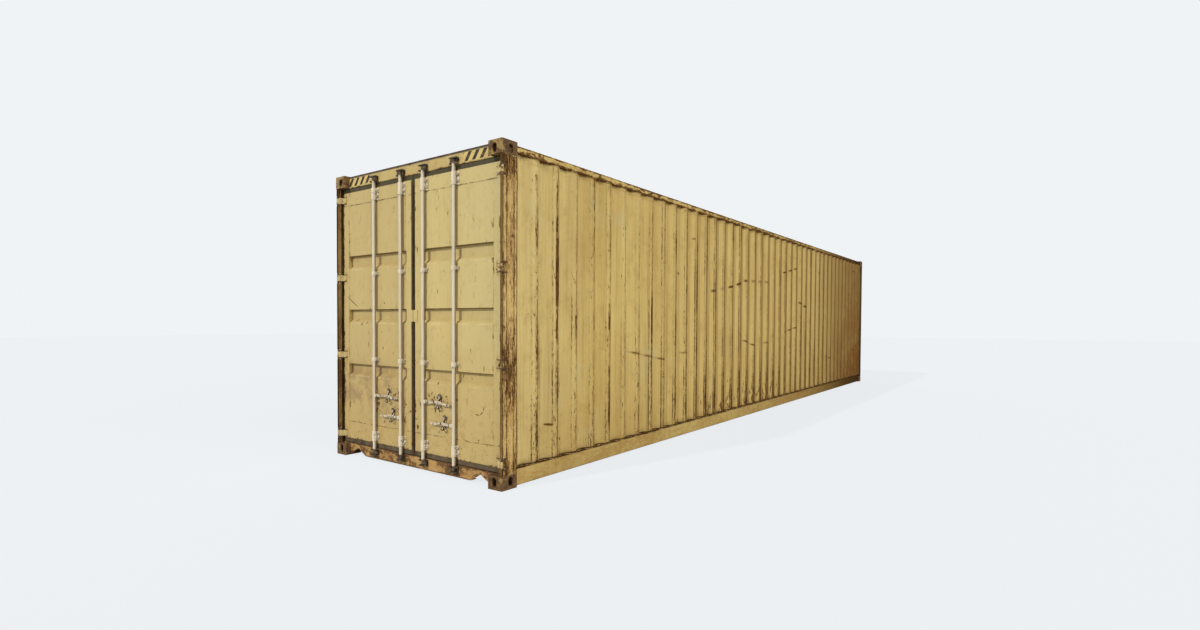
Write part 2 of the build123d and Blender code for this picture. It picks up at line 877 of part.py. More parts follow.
gasket_low = sill_top + gasket_gap
gasket_high = header_bottom - gasket_gap
gasket_outer = half_width - jamb_inset - gasket_gap
with BuildPart() as right_door_gasket:
    with BuildSketch(Plane.YZ.offset(door_plane + gasket_front_depth)):
        with Locations(leaf_centre):
            Rectangle(leaf_width + 2 * gasket_web, leaf_height + 2 * gasket_web)
            Rectangle(leaf_width, leaf_height, mode=Mode.SUBTRACT)
    extrude(amount=gasket_back_depth - gasket_front_depth)
    for lip_depth in (gasket_front_depth, gasket_back_depth - gasket_lip):
        with BuildSketch(Plane.YZ.offset(door_plane + lip_depth)):
            lip_centre = (-(gasket_inner + gasket_outer) / 2, (gasket_low + gasket_high) / 2)
            with Locations(lip_centre):
                Rectangle(gasket_outer - gasket_inner, gasket_high - gasket_low)
            with Locations(leaf_centre):
                Rectangle(leaf_width, leaf_height, mode=Mode.SUBTRACT)
        extrude(amount=gasket_lip)
right_door_gasket.part.label = "right_door_gasket"
export_step(right_door_gasket.part, "parts/right_door_gasket.step")

with BuildPart() as right_hinge_blades:
    for hinge_z in hinge_heights:
        with BuildSketch(Plane.XY.offset(hinge_z - blade_height / 2)):
            blade_fold = [
                door_end(blade_end, end_frame_depth - blade_thickness),
                door_end(blade_bend, end_frame_depth - blade_thickness),
                door_end(56, 6),
                door_end(pin_inset, 6),
            ]
            face_of(bent_sheet(blade_fold, blade_thickness))
            with Locations((pin_x, -pin_y)):
                Circle(knuckle_radius)
                Circle(pin_radius + pin_clearance, mode=Mode.SUBTRACT)
        extrude(amount=blade_height)
        with BuildSketch(Plane.YZ.offset(door_face - blade_thickness)):
            for side in (-1, 1):
                corner_cut = [
                    (blade_bend - half_width, hinge_z + side * blade_height / 2),
                    (blade_end - half_width, hinge_z + side * blade_height / 2),
                    (blade_end - half_width, hinge_z + side * blade_end_height / 2),
                ]
                face_of(corner_cut)
        extrude(amount=blade_thickness, mode=Mode.SUBTRACT)
right_hinge_blades.part.label = "right_hinge_blades"
export_step(right_hinge_blades.part, "parts/right_hinge_blades.step")

with BuildPart() as left_door_frame:
    mirror(right_door_frame.part, about=Plane.XZ)
left_door_frame.part.label = "left_door_frame"
export_step(left_door_frame.part, "parts/left_door_frame.step")

with BuildPart() as left_door_panel:
    mirror(right_door_panel.part, about=Plane.XZ)
left_door_panel.part.label = "left_door_panel"
export_step(left_door_panel.part, "parts/left_door_panel.step")

with BuildPart() as left_door_gasket:
    mirror(right_door_gasket.part, about=Plane.XZ)
left_door_gasket.part.label = "left_door_gasket"
export_step(left_door_gasket.part, "parts/left_door_gasket.step")

with BuildPart() as left_hinge_blades:
    mirror(right_hinge_blades.part, about=Plane.XZ)
left_hinge_blades.part.label = "left_hinge_blades"
export_step(left_hinge_blades.part, "parts/left_hinge_blades.step")


# Rod brackets: a saddle round the rod with a flange on its right
def rod_brackets(lines):
    with BuildPart() as brackets:
        for line_y in lines:
            for spans, back_x in ((long_brackets, door_face), (short_brackets, panel_x)):
                for low_z, high_z in spans:
                    with BuildSketch(Plane.XY.offset(low_z)):
                        base_low = line_y - bracket_far
                        base_high = line_y + bracket_near
                        base_front = door_face - bracket_base
                        base = [
                            (base_front, base_low),
                            (back_x, base_low),
                            (back_x, base_high),
                            (base_front, base_high),
                        ]
                        face_of(base)
                        with Locations((rod_x, line_y)):
                            Circle(bracket_radius)
                            Circle(rod_radius + bracket_clearance, mode=Mode.SUBTRACT)
                    extrude(amount=high_z - low_z)
    return brackets


left_rod_brackets = rod_brackets(rod_lines[:2])
left_rod_brackets.part.label = "left_rod_brackets"
export_step(left_rod_brackets.part, "parts/left_rod_brackets.step")

right_rod_brackets = rod_brackets(rod_lines[2:])
right_rod_brackets.part.label = "right_rod_brackets"
export_step(right_rod_brackets.part, "parts/right_rod_brackets.step")


# Handle catches: a hasp plate behind the handle and a shelf under it
def handle_catches(left_line, right_line):
    spots = (
        (left_line - catch_offset_upper, upper_hub + 6),
        (right_line + catch_offset_lower, lower_hub + 6),
    )
    with BuildPart() as catches:
        for spot_y, arm_z in spots:
            shelf_top = arm_z - arm_height / 2 - catch_gap
            with BuildSketch(Plane.YZ.offset(door_face - bracket_base)):
                with Locations((spot_y, arm_z + 4)):
                    Rectangle(34, 84)
                with Locations((spot_y, arm_z + 50)):
                    Circle(22)
                    Circle(9, mode=Mode.SUBTRACT)
            extrude(amount=bracket_base + panel_recess)
            block(
                door_plane + 20,
                door_face - bracket_base + 1,
                spot_y - 17,
                spot_y + 17,
                shelf_top - 6,
                shelf_top,
            )
            with BuildSketch(Plane.YZ.offset(door_plane + 20)):
                with Locations((spot_y, shelf_top - 24)):
                    Circle(24)
                    Circle(15, mode=Mode.SUBTRACT)
            extrude(amount=8)
    return catches


left_handle_catches = handle_catches(rod_lines[0], rod_lines[1])
left_handle_catches.part.label = "left_handle_catches"
export_step(left_handle_catches.part, "parts/left_handle_catches.step")

right_handle_catches = handle_catches(rod_lines[2], rod_lines[3])
right_handle_catches.part.label = "right_handle_catches"
export_step(right_handle_catches.part, "parts/right_handle_catches.step")


# Lock rods: a tube with a cam at each end and the fork that carries the handle
def lock_rod(line_y, reach, hub_z):
    pivot_y = line_y + reach * pivot_offset
    with BuildPart() as rod:
        with BuildSketch(Plane.XY.offset(rod_low)):
            with Locations((rod_x, line_y)):
                Circle(rod_radius)
                Circle(rod_radius - rod_wall, mode=Mode.SUBTRACT)
        extrude(amount=rod_high - rod_low)
        for low_z, high_z in ((low_nose_bottom, rod_low), (rod_high, high_nose_top)):
            with BuildSketch(Plane.XY.offset(low_z)):
                with Locations((rod_x, line_y)):
                    Circle(hub_radius)
            extrude(amount=high_z - low_z)
        for low_z, high_z in ((low_nose_bottom, low_nose_top), (high_nose_bottom, high_nose_top)):
            with BuildSketch(Plane.XY.offset(low_z)):
                nose = [
                    (rod_x - nose_half_depth, line_y),
                    (rod_x - nose_half_depth + 4, line_y + reach * nose_reach),
                    (rod_x + nose_half_depth - 4, line_y + reach * nose_reach),
                    (rod_x + nose_half_depth, line_y),
                ]
                face_of(nose)
            extrude(amount=high_z - low_z)
        fork_inner = eye_half_thickness + fork_gap
        for plate_x in (rod_x - fork_inner - fork_plate, rod_x + fork_inner):
            with BuildSketch(Plane.YZ.offset(plate_x)):
                with Locations(((line_y + pivot_y) / 2 + reach * 3, hub_z)):
                    Rectangle(pivot_offset - 6, 2 * eye_radius)
                with Locations((pivot_y, hub_z)):
                    Circle(eye_radius)
            extrude(amount=fork_plate)
        with BuildSketch(Plane.YZ.offset(rod_x - fork_inner - fork_plate - 2)):
            with Locations((pivot_y, hub_z)):
                Circle(pivot_pin_radius)
        extrude(amount=2 * (fork_inner + fork_plate) + 2)
    return rod


left_outer_lock_rod = lock_rod(rod_lines[0], -1, upper_hub)
left_outer_lock_rod.part.label = "left_outer_lock_rod"
export_step(left_outer_lock_rod.part, "parts/left_outer_lock_rod.step")

left_inner_lock_rod = lock_rod(rod_lines[1], 1, lower_hub)
left_inner_lock_rod.part.label = "left_inner_lock_rod"
export_step(left_inner_lock_rod.part, "parts/left_inner_lock_rod.step")

right_inner_lock_rod = lock_rod(rod_lines[2], -1, upper_hub)
right_inner_lock_rod.part.label = "right_inner_lock_rod"
export_step(right_inner_lock_rod.part, "parts/right_inner_lock_rod.step")

right_outer_lock_rod = lock_rod(rod_lines[3], 1, lower_hub)
right_outer_lock_rod.part.label = "right_outer_lock_rod"
export_step(right_outer_lock_rod.part, "parts/right_outer_lock_rod.step")


# Handles: a flat eye and an arm with a shallow double bend
def handle(line_y, reach, hub_z, tail):
    pivot_y = line_y + reach * pivot_offset
    bends = [
        (pivot_offset, 0),
        (95, -3),
        (150, 6),
        (tail - 130, 6),
        (tail - 85, -8),
        (tail, -8),
    ]
    lower_side = [(along, rise - arm_height / 2) for along, rise in bends]
    arm = [
        (line_y + reach * along, hub_z + rise)
        for along, rise in bent_sheet(lower_side, arm_height)
    ]
    with BuildPart() as lever:
        with BuildSketch(Plane.YZ.offset(rod_x - arm_half_thickness)):
            face_of(arm)
            with Locations((line_y + reach * tail, hub_z - 8)):
                Circle(arm_height / 2)
            with Locations((pivot_y, hub_z)):
                Circle(pivot_pin_radius + pivot_clearance, mode=Mode.SUBTRACT)
        extrude(amount=2 * arm_half_thickness)
        with BuildSketch(Plane.YZ.offset(rod_x - eye_half_thickness)):
            with Locations((pivot_y, hub_z)):
                Circle(eye_radius)
                Circle(pivot_pin_radius + pivot_clearance, mode=Mode.SUBTRACT)
        extrude(amount=2 * eye_half_thickness)
    return lever


left_outer_handle = handle(rod_lines[0], -1, upper_hub, upper_tail)
left_outer_handle.part.label = "left_outer_handle"
export_step(left_outer_handle.part, "parts/left_outer_handle.step")

left_inner_handle = handle(rod_lines[1], 1, lower_hub, lower_tail)
left_inner_handle.part.label = "left_inner_handle"
export_step(left_inner_handle.part, "parts/left_inner_handle.step")

right_inner_handle = handle(rod_lines[2], -1, upper_hub, upper_tail)
right_inner_handle.part.label = "right_inner_handle"
export_step(right_inner_handle.part, "parts/right_inner_handle.step")

right_outer_handle = handle(rod_lines[3], 1, lower_hub, lower_tail)
right_outer_handle.part.label = "right_outer_handle"
export_step(right_outer_handle.part, "parts/right_outer_handle.step")
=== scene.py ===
"""Weathered finish and fine steelwork for a forty foot shipping container."""

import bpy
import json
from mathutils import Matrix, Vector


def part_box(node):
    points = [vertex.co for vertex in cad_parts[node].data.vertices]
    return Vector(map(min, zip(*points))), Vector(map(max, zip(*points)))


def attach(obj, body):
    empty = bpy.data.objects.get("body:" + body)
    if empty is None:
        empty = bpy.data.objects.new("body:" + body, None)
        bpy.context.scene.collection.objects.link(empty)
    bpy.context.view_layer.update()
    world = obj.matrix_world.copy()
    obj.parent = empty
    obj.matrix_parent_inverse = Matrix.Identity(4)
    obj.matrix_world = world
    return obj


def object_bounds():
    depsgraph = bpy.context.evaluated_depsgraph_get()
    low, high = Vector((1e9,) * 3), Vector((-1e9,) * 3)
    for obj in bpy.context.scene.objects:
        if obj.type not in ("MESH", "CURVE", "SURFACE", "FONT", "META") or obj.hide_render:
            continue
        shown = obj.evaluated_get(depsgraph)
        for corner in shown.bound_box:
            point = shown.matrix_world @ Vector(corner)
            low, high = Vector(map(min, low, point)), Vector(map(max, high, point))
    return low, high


bl_info = {
    "name": "Weathered shipping container",
    "version": (1, 0, 0),
    "blender": (4, 5, 0),
    "location": "3D View > Sidebar > Container",
    "description": "Dresses a packed container model with worn paint, rust, welds and fasteners",
    "category": "Object",
}

import fnmatch
import functools
import json
import math
import random

import bmesh
import bpy
from bpy.props import FloatProperty, FloatVectorProperty, IntProperty, PointerProperty
from bpy.types import Operator, Panel, PropertyGroup
from mathutils import Matrix, Vector

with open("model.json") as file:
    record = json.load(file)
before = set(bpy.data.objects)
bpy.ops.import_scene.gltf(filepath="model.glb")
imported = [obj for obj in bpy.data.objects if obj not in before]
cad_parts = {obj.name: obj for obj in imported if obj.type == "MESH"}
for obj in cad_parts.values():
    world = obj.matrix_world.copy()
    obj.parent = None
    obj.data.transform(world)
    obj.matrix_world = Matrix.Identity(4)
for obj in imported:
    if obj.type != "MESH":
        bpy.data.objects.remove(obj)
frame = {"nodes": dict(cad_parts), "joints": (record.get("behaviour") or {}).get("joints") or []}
cad_box = [list(corner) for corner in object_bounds()]
nodes = frame["nodes"]
rod_lines = {
    joint["name"].removesuffix("_rod_turn"): joint["pos_m"][1]
    for joint in frame["joints"]
    if joint["name"].endswith("_rod_turn")
}

door_plane = cad_box[0][0]
front_plane, half_width, top_plane = cad_box[1]
box_length = front_plane - door_plane
casting_length = 0.178
casting_height = 0.118

# Corrugation of the side walls, as the part has it
wave_first = door_plane + 0.163
wave_pitch = 0.2779
wave_count = 43
wave_in, wave_back, wave_out = 0.068, 0.138, 0.206

# Heights of the doors' grooves and hinges, as the part has them
grooves = ((2.071, 1.931), (1.518, 1.378), (0.957, 0.834))
hinge_heights = (0.22, 1.0469, 1.847, 2.652)


class Value:
    """A socket of a node, with plain arithmetic."""

    def __init__(self, nodes, socket):
        self.nodes = nodes
        self.socket = socket

    def maths(self, operation, first, second=0.0, clamp=False):
        settings = {"operation": operation, "use_clamp": clamp}
        return self.nodes.node("Math", settings, {0: first, 1: second})

    def __add__(self, other):
        return self.maths("ADD", self, other)

    def __radd__(self, other):
        return self.maths("ADD", other, self)

    def __sub__(self, other):
        return self.maths("SUBTRACT", self, other)

    def __rsub__(self, other):
        return self.maths("SUBTRACT", other, self)

    def __mul__(self, other):
        return self.maths("MULTIPLY", self, other)

    def __rmul__(self, other):
        return self.maths("MULTIPLY", other, self)

    def __truediv__(self, other):
        return self.maths("DIVIDE", self, other)

    def __mod__(self, other):
        return self.maths("FLOORED_MODULO", self, other)

    def __abs__(self):
        return self.maths("ABSOLUTE", self)

    def floor(self):
        return self.maths("FLOOR", self)

    def clamped(self):
        return self.maths("ADD", self, 0.0, clamp=True)

    def at_least(self, other):
        return self.maths("MAXIMUM", self, other)

    def at_most(self, other):
        return self.maths("MINIMUM", self, other)

    def ease(self, low, high):
        """0 below low, 1 above high and smooth between; falls instead where low is the larger."""
        rising = low < high
        ends = {1: min(low, high), 2: max(low, high), 3: float(not rising), 4: float(rising)}
        return self.nodes.node("MapRange", {"interpolation_type": "SMOOTHSTEP"}, {0: self, **ends})

    def between(self, low, low_inside, high_inside, high):
        """1 from low_inside to high_inside, 0 below low and above high and smooth between."""
        return self.ease(low, low_inside) * self.ease(high, high_inside)

    def near(self, place, wide, narrow):
        """1 within narrow of a place, 0 further off than wide and smooth between."""
        return abs(self - place).ease(wide, narrow)


def strongest(*values):
    """The largest of several values."""
    return functools.reduce(Value.at_least, values)


def away_from(value, places):
    """Distance to the nearest of several places."""
    return functools.reduce(Value.at_most, [abs(value - place) for place in places])


def set_stops(ramp, stops):
    """Gives a colour ramp its stops of position and colour."""
    ramp.elements.remove(ramp.elements[1])
    for index, (position, shade) in enumerate(stops):
        stop = ramp.elements.new(position) if index else ramp.elements[0]
        stop.position = position
        stop.color = (*shade, 1.0)


class Nodes:
    """A node tree, built from the values of its sockets."""

    def __init__(self, owner):
        owner.use_nodes = True
        self.tree = owner.node_tree
        self.tree.nodes.clear()

    def node(self, kind, settings=None, sockets=None, output=0):
        """Adds a node with its settings, then its sockets. Gives one output, or all for None."""
        made = self.tree.nodes.new("ShaderNode" + kind)
        for name, value in (settings or {}).items():
            if name == "ramp":
                made.color_ramp.interpolation = value
            elif name == "stops":
                set_stops(made.color_ramp, value)
            else:
                setattr(made, name, value)
        for name, value in (sockets or {}).items():
            if isinstance(value, Value):
                self.tree.links.new(value.socket, made.inputs[name])
            else:
                made.inputs[name].default_value = value
        if output is None:
            return [Value(self, socket) for socket in made.outputs]
        return Value(self, made.outputs[output])

    def backdrop_over(self, lit, plain_kind, share):
        """Lit shader under the plain backdrop, which the camera and glossy or clear paint see."""
        rays = [
            self.node("LightPath", output=f"Is {ray} Ray")
            for ray in ("Camera", "Glossy", "Transmission")
        ]
        sockets = {"Color": colour("background"), "Strength": 1.0}
        plain = self.node(plain_kind, None, sockets)
        return self.node("MixShader", None, {0: strongest(*rays) * share, 1: lit, 2: plain})


class Finish(Nodes):
    """One procedural material, written as expressions on values."""

    def __init__(self, name):
        self.material = bpy.data.materials.new(name)
        super().__init__(self.material)
        self.point = self.node("TexCoord", output="Object")
        self.x, self.y, self.z = self.node("SeparateXYZ", None, {0: self.point}, None)
        self.base = None

    def facing(self):
        """The x, y and z of the direction that the surface faces."""
        direction = self.node("TexCoord", output="Normal")
        return self.node("SeparateXYZ", None, {0: direction}, None)

    def noise(self, scale, detail, roughness, vector=None, distortion=0.0):
        """Noise from 0 to 1 about 0.5."""
        sockets = {
            "Vector": vector or self.point,
            "Scale": scale,
            "Detail": detail,
            "Roughness": roughness,
            "Distortion": distortion,
        }
        return self.node("TexNoise", None, sockets)

    def drawn(self, detail, roughness, x, y, z, shift=0.0, scale=1.0, distortion=0.0):
        """Noise at its own scale along each axis, so that it runs long or short there."""
        grown = self.node("VectorMath", {"operation": "MULTIPLY"}, {0: self.point, 1: (x, y, z)})
        if shift:
            grown = self.node("VectorMath", {"operation": "ADD"}, {0: grown, 1: (shift,) * 3})
        return self.noise(scale, detail, roughness, grown, distortion)

    def random_of(self, value):
        """A steady random number from 0 to 1 for each value."""
        return self.node("TexWhiteNoise", {"noise_dimensions": "1D"}, {"W": value})

    def mix(self, share, first, second):
        """Colour between two shades."""
        sockets = {0: share, 6: colour(first), 7: colour(second)}
        return self.node("Mix", {"data_type": "RGBA"}, sockets, 2)

    def blend(self, share, first, second):
        """Number between two numbers."""
        return self.node("Mix", {"data_type": "FLOAT"}, {0: share, 2: first, 3: second})

    def coat(self, share, shade):
        """Lays a shade over the base colour."""
        self.base = self.mix(share, self.base, shade)

    def fade(self, paint, dirty, amount):
        """Starts with sun faded paint: broad clouds, soft runs down it and a fine mottle."""
        clouds = self.noise(0.9, 5, 0.6)
        runs = self.drawn(4, 0.6, 9.0, 9.0, 0.5)
        mottle = self.noise(34.0, 3, 0.7)
        share = (clouds - 0.5) * 1.6 + (runs - 0.5) * 1.1 + (mottle - 0.5) * 0.5
        self.base = self.mix((share * amount + 0.22).clamped(), paint, dirty)

    def rusted(self, share, scale=18.0):
        """Lays rust between orange brown and nearly black over the base colour."""
        grain = self.noise(scale, 6, 0.7)
        deep = self.mix(grain.ease(0.38, 0.62), "dark_rust", "rust")
        bright = self.noise(scale * 3.1, 3, 0.6).ease(0.58, 0.8) * 0.5
        self.coat(share, self.mix(bright, deep, (150, 96, 50)))

    def mark(self, start, end, width, across="x"):
        """1 inside a slim ellipse between two places, given as (depth or y, height)."""
        run = Vector((end[0] - start[0], end[1] - start[1]))
        half = max(run.length / 2, width)
        middle, height = (start[0] + end[0]) / 2, (start[1] + end[1]) / 2
        tilt = math.atan2(run.y, run.x)
        endless = 1000
        if across == "x":
            place, turn = (door_plane + middle, 0, height), (0, -tilt, 0)
            scale = (half, endless, width)
        else:
            place, turn = (0, middle, height), (tilt, 0, 0)
            scale = (endless, half, width)
        sockets = {"Vector": self.point, "Location": place, "Rotation": turn, "Scale": scale}
        local = self.node("Mapping", {"vector_type": "TEXTURE"}, sockets)
        reach = self.node("VectorMath", {"operation": "LENGTH"}, {0: local}, "Value")
        return reach.ease(1.0, 0.72)

    def track(self, along, points, width):
        """1 on a long scratch: points give (share along, height, strength from there on)."""
        tallest = 3
        stops = [(share, (height / tallest, strength, 0)) for share, height, strength in points]
        heights = self.node("ValToRGB", {"ramp": "LINEAR", "stops": stops}, {0: along})
        shares = self.node("ValToRGB", {"ramp": "CONSTANT", "stops": stops}, {0: along})
        height = self.node("SeparateColor", None, {0: heights})
        strength = self.node("SeparateColor", None, {0: shares}, 1)
        return abs(self.z - height * tallest).ease(width, width * 0.3) * strength

    def pitted(self, worn, scale, detail):
        """Height of a paint skin with pitted metal where it is worn."""
        return self.noise(scale, detail, 0.7) * worn * 0.4 + (1 - worn) * 0.3

    def close(self, roughness, height, distance, strength, specular):
        """Links the base colour, roughness and a bump to the shader and returns the material."""
        bump = {"Height": height, "Distance": distance, "Strength": strength}
        sockets = {
            "Base Color": self.base,
            "Roughness": roughness,
            "Normal": self.node("Bump", None, bump),
            "Specular IOR Level": specular,
        }
        shader = self.node("BsdfPrincipled", None, sockets)
        self.node("OutputMaterial", None, {"Surface": shader}, None)
        return self.material


def srgb(red, green, blue):
    """Linear colour from the usual 0 to 255 numbers."""
    shares = [part / 255 for part in (red, green, blue)]
    return tuple(
        part / 12.92 if part <= 0.04045 else ((part + 0.055) / 1.055) ** 2.4 for part in shares
    )


def colour(shade):
    """Socket value of a shade: a link, the name of a palette colour, or 0 to 255 numbers."""
    if isinstance(shade, Value):
        return shade
    return (*(getattr(palette(), shade) if isinstance(shade, str) else srgb(*shade)), 1.0)


def choice(name, description, *shade):
    """Palette colour with its default given in 0 to 255 numbers."""
    return FloatVectorProperty(
        name=name, description=description, subtype="COLOR", size=3, default=srgb(*shade)
    )


class ContainerColours(PropertyGroup):
    """Colours of the container's finishes."""

    side_paint: choice("Side paint", "Faded paint of the long walls", 212, 187, 118)
    door_paint: choice("Door paint", "Faded paint of the doors and header", 199, 183, 127)
    dirty_paint: choice("Dirty paint", "Paint browned by dirt and weather", 168, 136, 78)
    brown_grime: choice("Brown grime", "Dirt that gathers toward the far end", 112, 82, 40)
    rust: choice("Rust", "Plain brown rust", 112, 76, 38)
    dark_rust: choice("Dark rust", "Old dark rust in the creases", 60, 43, 25)
    gear_paint: choice("Lock gear", "Pale paint of rods, brackets and handles", 214, 203, 178)
    gasket: choice("Gasket", "Weathered rubber round the doors", 92, 80, 60)
    stripe: choice("Stripe", "Dark paint of the header's slanted stripes", 32, 24, 15)
    background: choice("Background", "Backdrop as the camera sees it", 239, 243, 246)


class ContainerSizes(PropertyGroup):
    """Sizes of the small pieces that are added to the part."""

    weld_radius: FloatProperty(
        name="Weld radius",
        description="Half width of the weld beads along the seams",
        default=0.0035,
        unit="LENGTH",
    )
    bolt_radius: FloatProperty(
        name="Bolt head radius",
        description="Radius across the corners of a bracket bolt's head",
        default=0.0125,
        unit="LENGTH",
    )
    seed: IntProperty(
        name="Seed",
        description="Start of the steady random numbers used for small variation",
        default=11,
    )


def palette():
    """Colours as the sidebar has them."""
    return bpy.context.scene.container_colours


def sizes():
    """Sizes as the sidebar has them."""
    return bpy.context.scene.container_sizes


# Finishes


def side_wall_finish():
    """Long walls: faded paint, ragged rust down the creases, scratches and a browned far end."""
    finish = Finish("side_wall_paint")
    x, y, z = finish.x, finish.y, finish.z
    depth = x - door_plane
    waves = (x - wave_first) / wave_pitch + 0.2
    number = waves.floor()
    phase = waves - number - 0.2
    lot = finish.random_of(number)
    other_lot = finish.random_of(number + 71.3)
    along = depth / box_length

    # Paint that differs a little from wave to wave, with pale bleached and brown dusty patches
    paint = finish.mix(lot * 0.4, "side_paint", (222, 199, 132))
    finish.fade(paint, "dirty_paint", 0.8)
    bleached = finish.drawn(4, 0.6, 1.5, 1.5, 1.1, 2.0).ease(0.56, 0.72)
    finish.coat(bleached * along.ease(0.6, 0.1) * 0.45, (204, 196, 146))
    finish.coat(along.ease(0.12, 0.01) * 0.3, (222, 207, 152))
    # Painted shade on the inner flats and on the slopes turned away, more of it further along; a
    # little painted shade on the slopes facing the doors near them
    inner_flat_shade = phase.between(0.2, 0.26, 0.48, 0.52)
    mid_way = along.ease(0.12, 0.35)
    finish.coat(inner_flat_shade * (0.1 + mid_way * 0.34), "dirty_paint")
    turned_away_shade = phase.between(0.0, 0.03, 0.22, 0.27)
    finish.coat(turned_away_shade * (0.02 + mid_way * 0.5), "dirty_paint")
    facing = phase.between(0.49, 0.52, 0.73, 0.77)
    finish.coat(facing * (1 - mid_way) * 0.1, "dirty_paint")
    crease_edge_shade = phase.between(-0.2, -0.04, 0.0, 0.02)
    finish.coat(z.ease(1.0, 0.16) * 0.2, (172, 138, 74))
    drift = finish.noise(0.55, 4, 0.6)
    browned = (along + (drift - 0.5) * 0.22).ease(0.3, 0.9)
    finish.coat(mid_way * 0.16 + browned * 0.62, "brown_grime")
    # Painted shade on the outer flats just before each crease, further along
    finish.coat(crease_edge_shade * mid_way * 0.72, (84, 60, 30))
    # Painted highlight on the slopes facing the doors, further along
    facing_slope_highlight = facing * mid_way * (along.ease(1.1, 0.7) * 0.5)
    finish.coat(facing_slope_highlight, (226, 198, 128))
    finish.coat(along.ease(0.66, 0.86) * 0.3, (94, 66, 34))
    reddened = along.ease(0.7, 1.0) * (z.ease(2.6, 0.5) * 0.7 + 0.3)
    finish.coat(reddened * finish.noise(1.6, 4, 0.6).ease(0.3, 0.55) * 0.8, (112, 64, 28))
    fine_runs = finish.drawn(5, 0.65, 55.0, 55.0, 1.3).ease(0.42, 0.7)
    finish.coat(fine_runs * 0.3, "dirty_paint")
    blotches = finish.drawn(6, 0.7, 1.6, 1.6, 1.0, scale=5.0).ease(0.5, 0.68)
    finish.coat(blotches * 0.3, (160, 130, 74))
    wet_runs = finish.drawn(5, 0.65, 17.0, 17.0, 0.5).ease(0.52, 0.74)
    finish.coat(wet_runs * (0.22 + along * 0.4), "brown_grime")

    # Ragged rust just past each outer crease, stronger on some waves, in the middle and low down
    near_waves = (
        0.1, 0.1, 0.3, 0.0, 0.3, 0.3, 0.15, 0.3, 0.5, 0.35, 0.5, 0.5, 0.9, 0.7, 0.7, 0.5, 0.6
    )
    stops = [((wave + 0.001) / wave_count, (share,) * 3) for wave, share in enumerate(near_waves)]
    settings = {"ramp": "CONSTANT", "stops": stops}
    near_strength = finish.node("ValToRGB", settings, {0: (number + 0.5) / wave_count})
    further = number.ease(len(near_waves) - 0.6, len(near_waves) - 0.4)
    strength = finish.blend(further, near_strength, 0.25 + lot * 0.6)
    streak = finish.drawn(8, 0.78, 80.0, 40.0, 26.0)
    patch = finish.drawn(4, 0.62, 3.0, 3.0, 1.4, 4.2)
    low_down = z.ease(1.7, 0.3)
    middle = along.between(0.18, 0.34, 0.5, 0.95)
    window = phase.between(-0.15, -0.03, 0.08, 0.2)
    reach = strength * 0.09 + low_down * 0.03 + middle * 0.03 + middle * low_down * 0.03
    fields = (
        ((0.42, 2.75), (0.42, 1.95), 0.05), ((0.70, 2.7), (0.70, 1.15), 0.05),
        ((1.53, 1.02), (1.53, 0.24), 0.06), ((1.53, 1.62), (1.53, 1.3), 0.05),
        ((2.36, 2.0), (2.36, 0.75), 0.07),
    )
    for start, end, width in fields:
        reach = reach + finish.mark(start, end, width) * 0.09
    crease_level = streak * 0.5 + patch * 0.5 + reach + window * 0.08
    crease_rust = window.ease(0.0, 0.3) * crease_level.ease(0.67, 0.69)
    hairline_level = streak * 0.75 + patch * 0.25 + lot * 0.05
    hairline = abs(phase + 0.008).ease(0.024, 0.008) * hairline_level.ease(0.505, 0.53)
    far_crease = phase.near(wave_out / wave_pitch, 0.05, 0.012)
    thin_level = streak * 0.6 + patch * 0.4 + other_lot * 0.1 + low_down * 0.06 + middle * 0.04
    thin_rust = thin_level.ease(0.6, 0.625)
    inner_crease = phase.near(wave_in / wave_pitch, 0.035, 0.008)

    # Freckles along the creases, and a band of splashed rust over the bottom rail
    freckle_spots = finish.drawn(6, 0.7, 30.0, 30.0, 16.0, 1.0)
    by_crease = phase.ease(0.14, 0.02).at_least(far_crease)
    freckles = (freckle_spots + by_crease * 0.07 + low_down * 0.03).ease(0.69, 0.71)
    splash_window = depth.between(3.3, 3.9, 6.2, 7.2)
    splash_noise = finish.drawn(7, 0.76, 34.0, 14.0, 6.5, 9.0)
    splash_height = z.ease(0.86, 0.3)
    splash_level = splash_noise + splash_height * (0.03 + splash_window * 0.08)
    splash_level = splash_level + by_crease * (0.08 + splash_window * 0.05)
    splash = splash_level.ease(0.665, 0.68) * splash_height.ease(0.01, 0.25)
    row = z.near(0.46, 0.045, 0.02) * phase.near(0.03, 0.1, 0.05)
    row = row * depth.between(2.0, 2.1, 4.2, 4.4)
    row_spots = row * finish.noise(24.0, 4, 0.6).ease(0.4, 0.46)

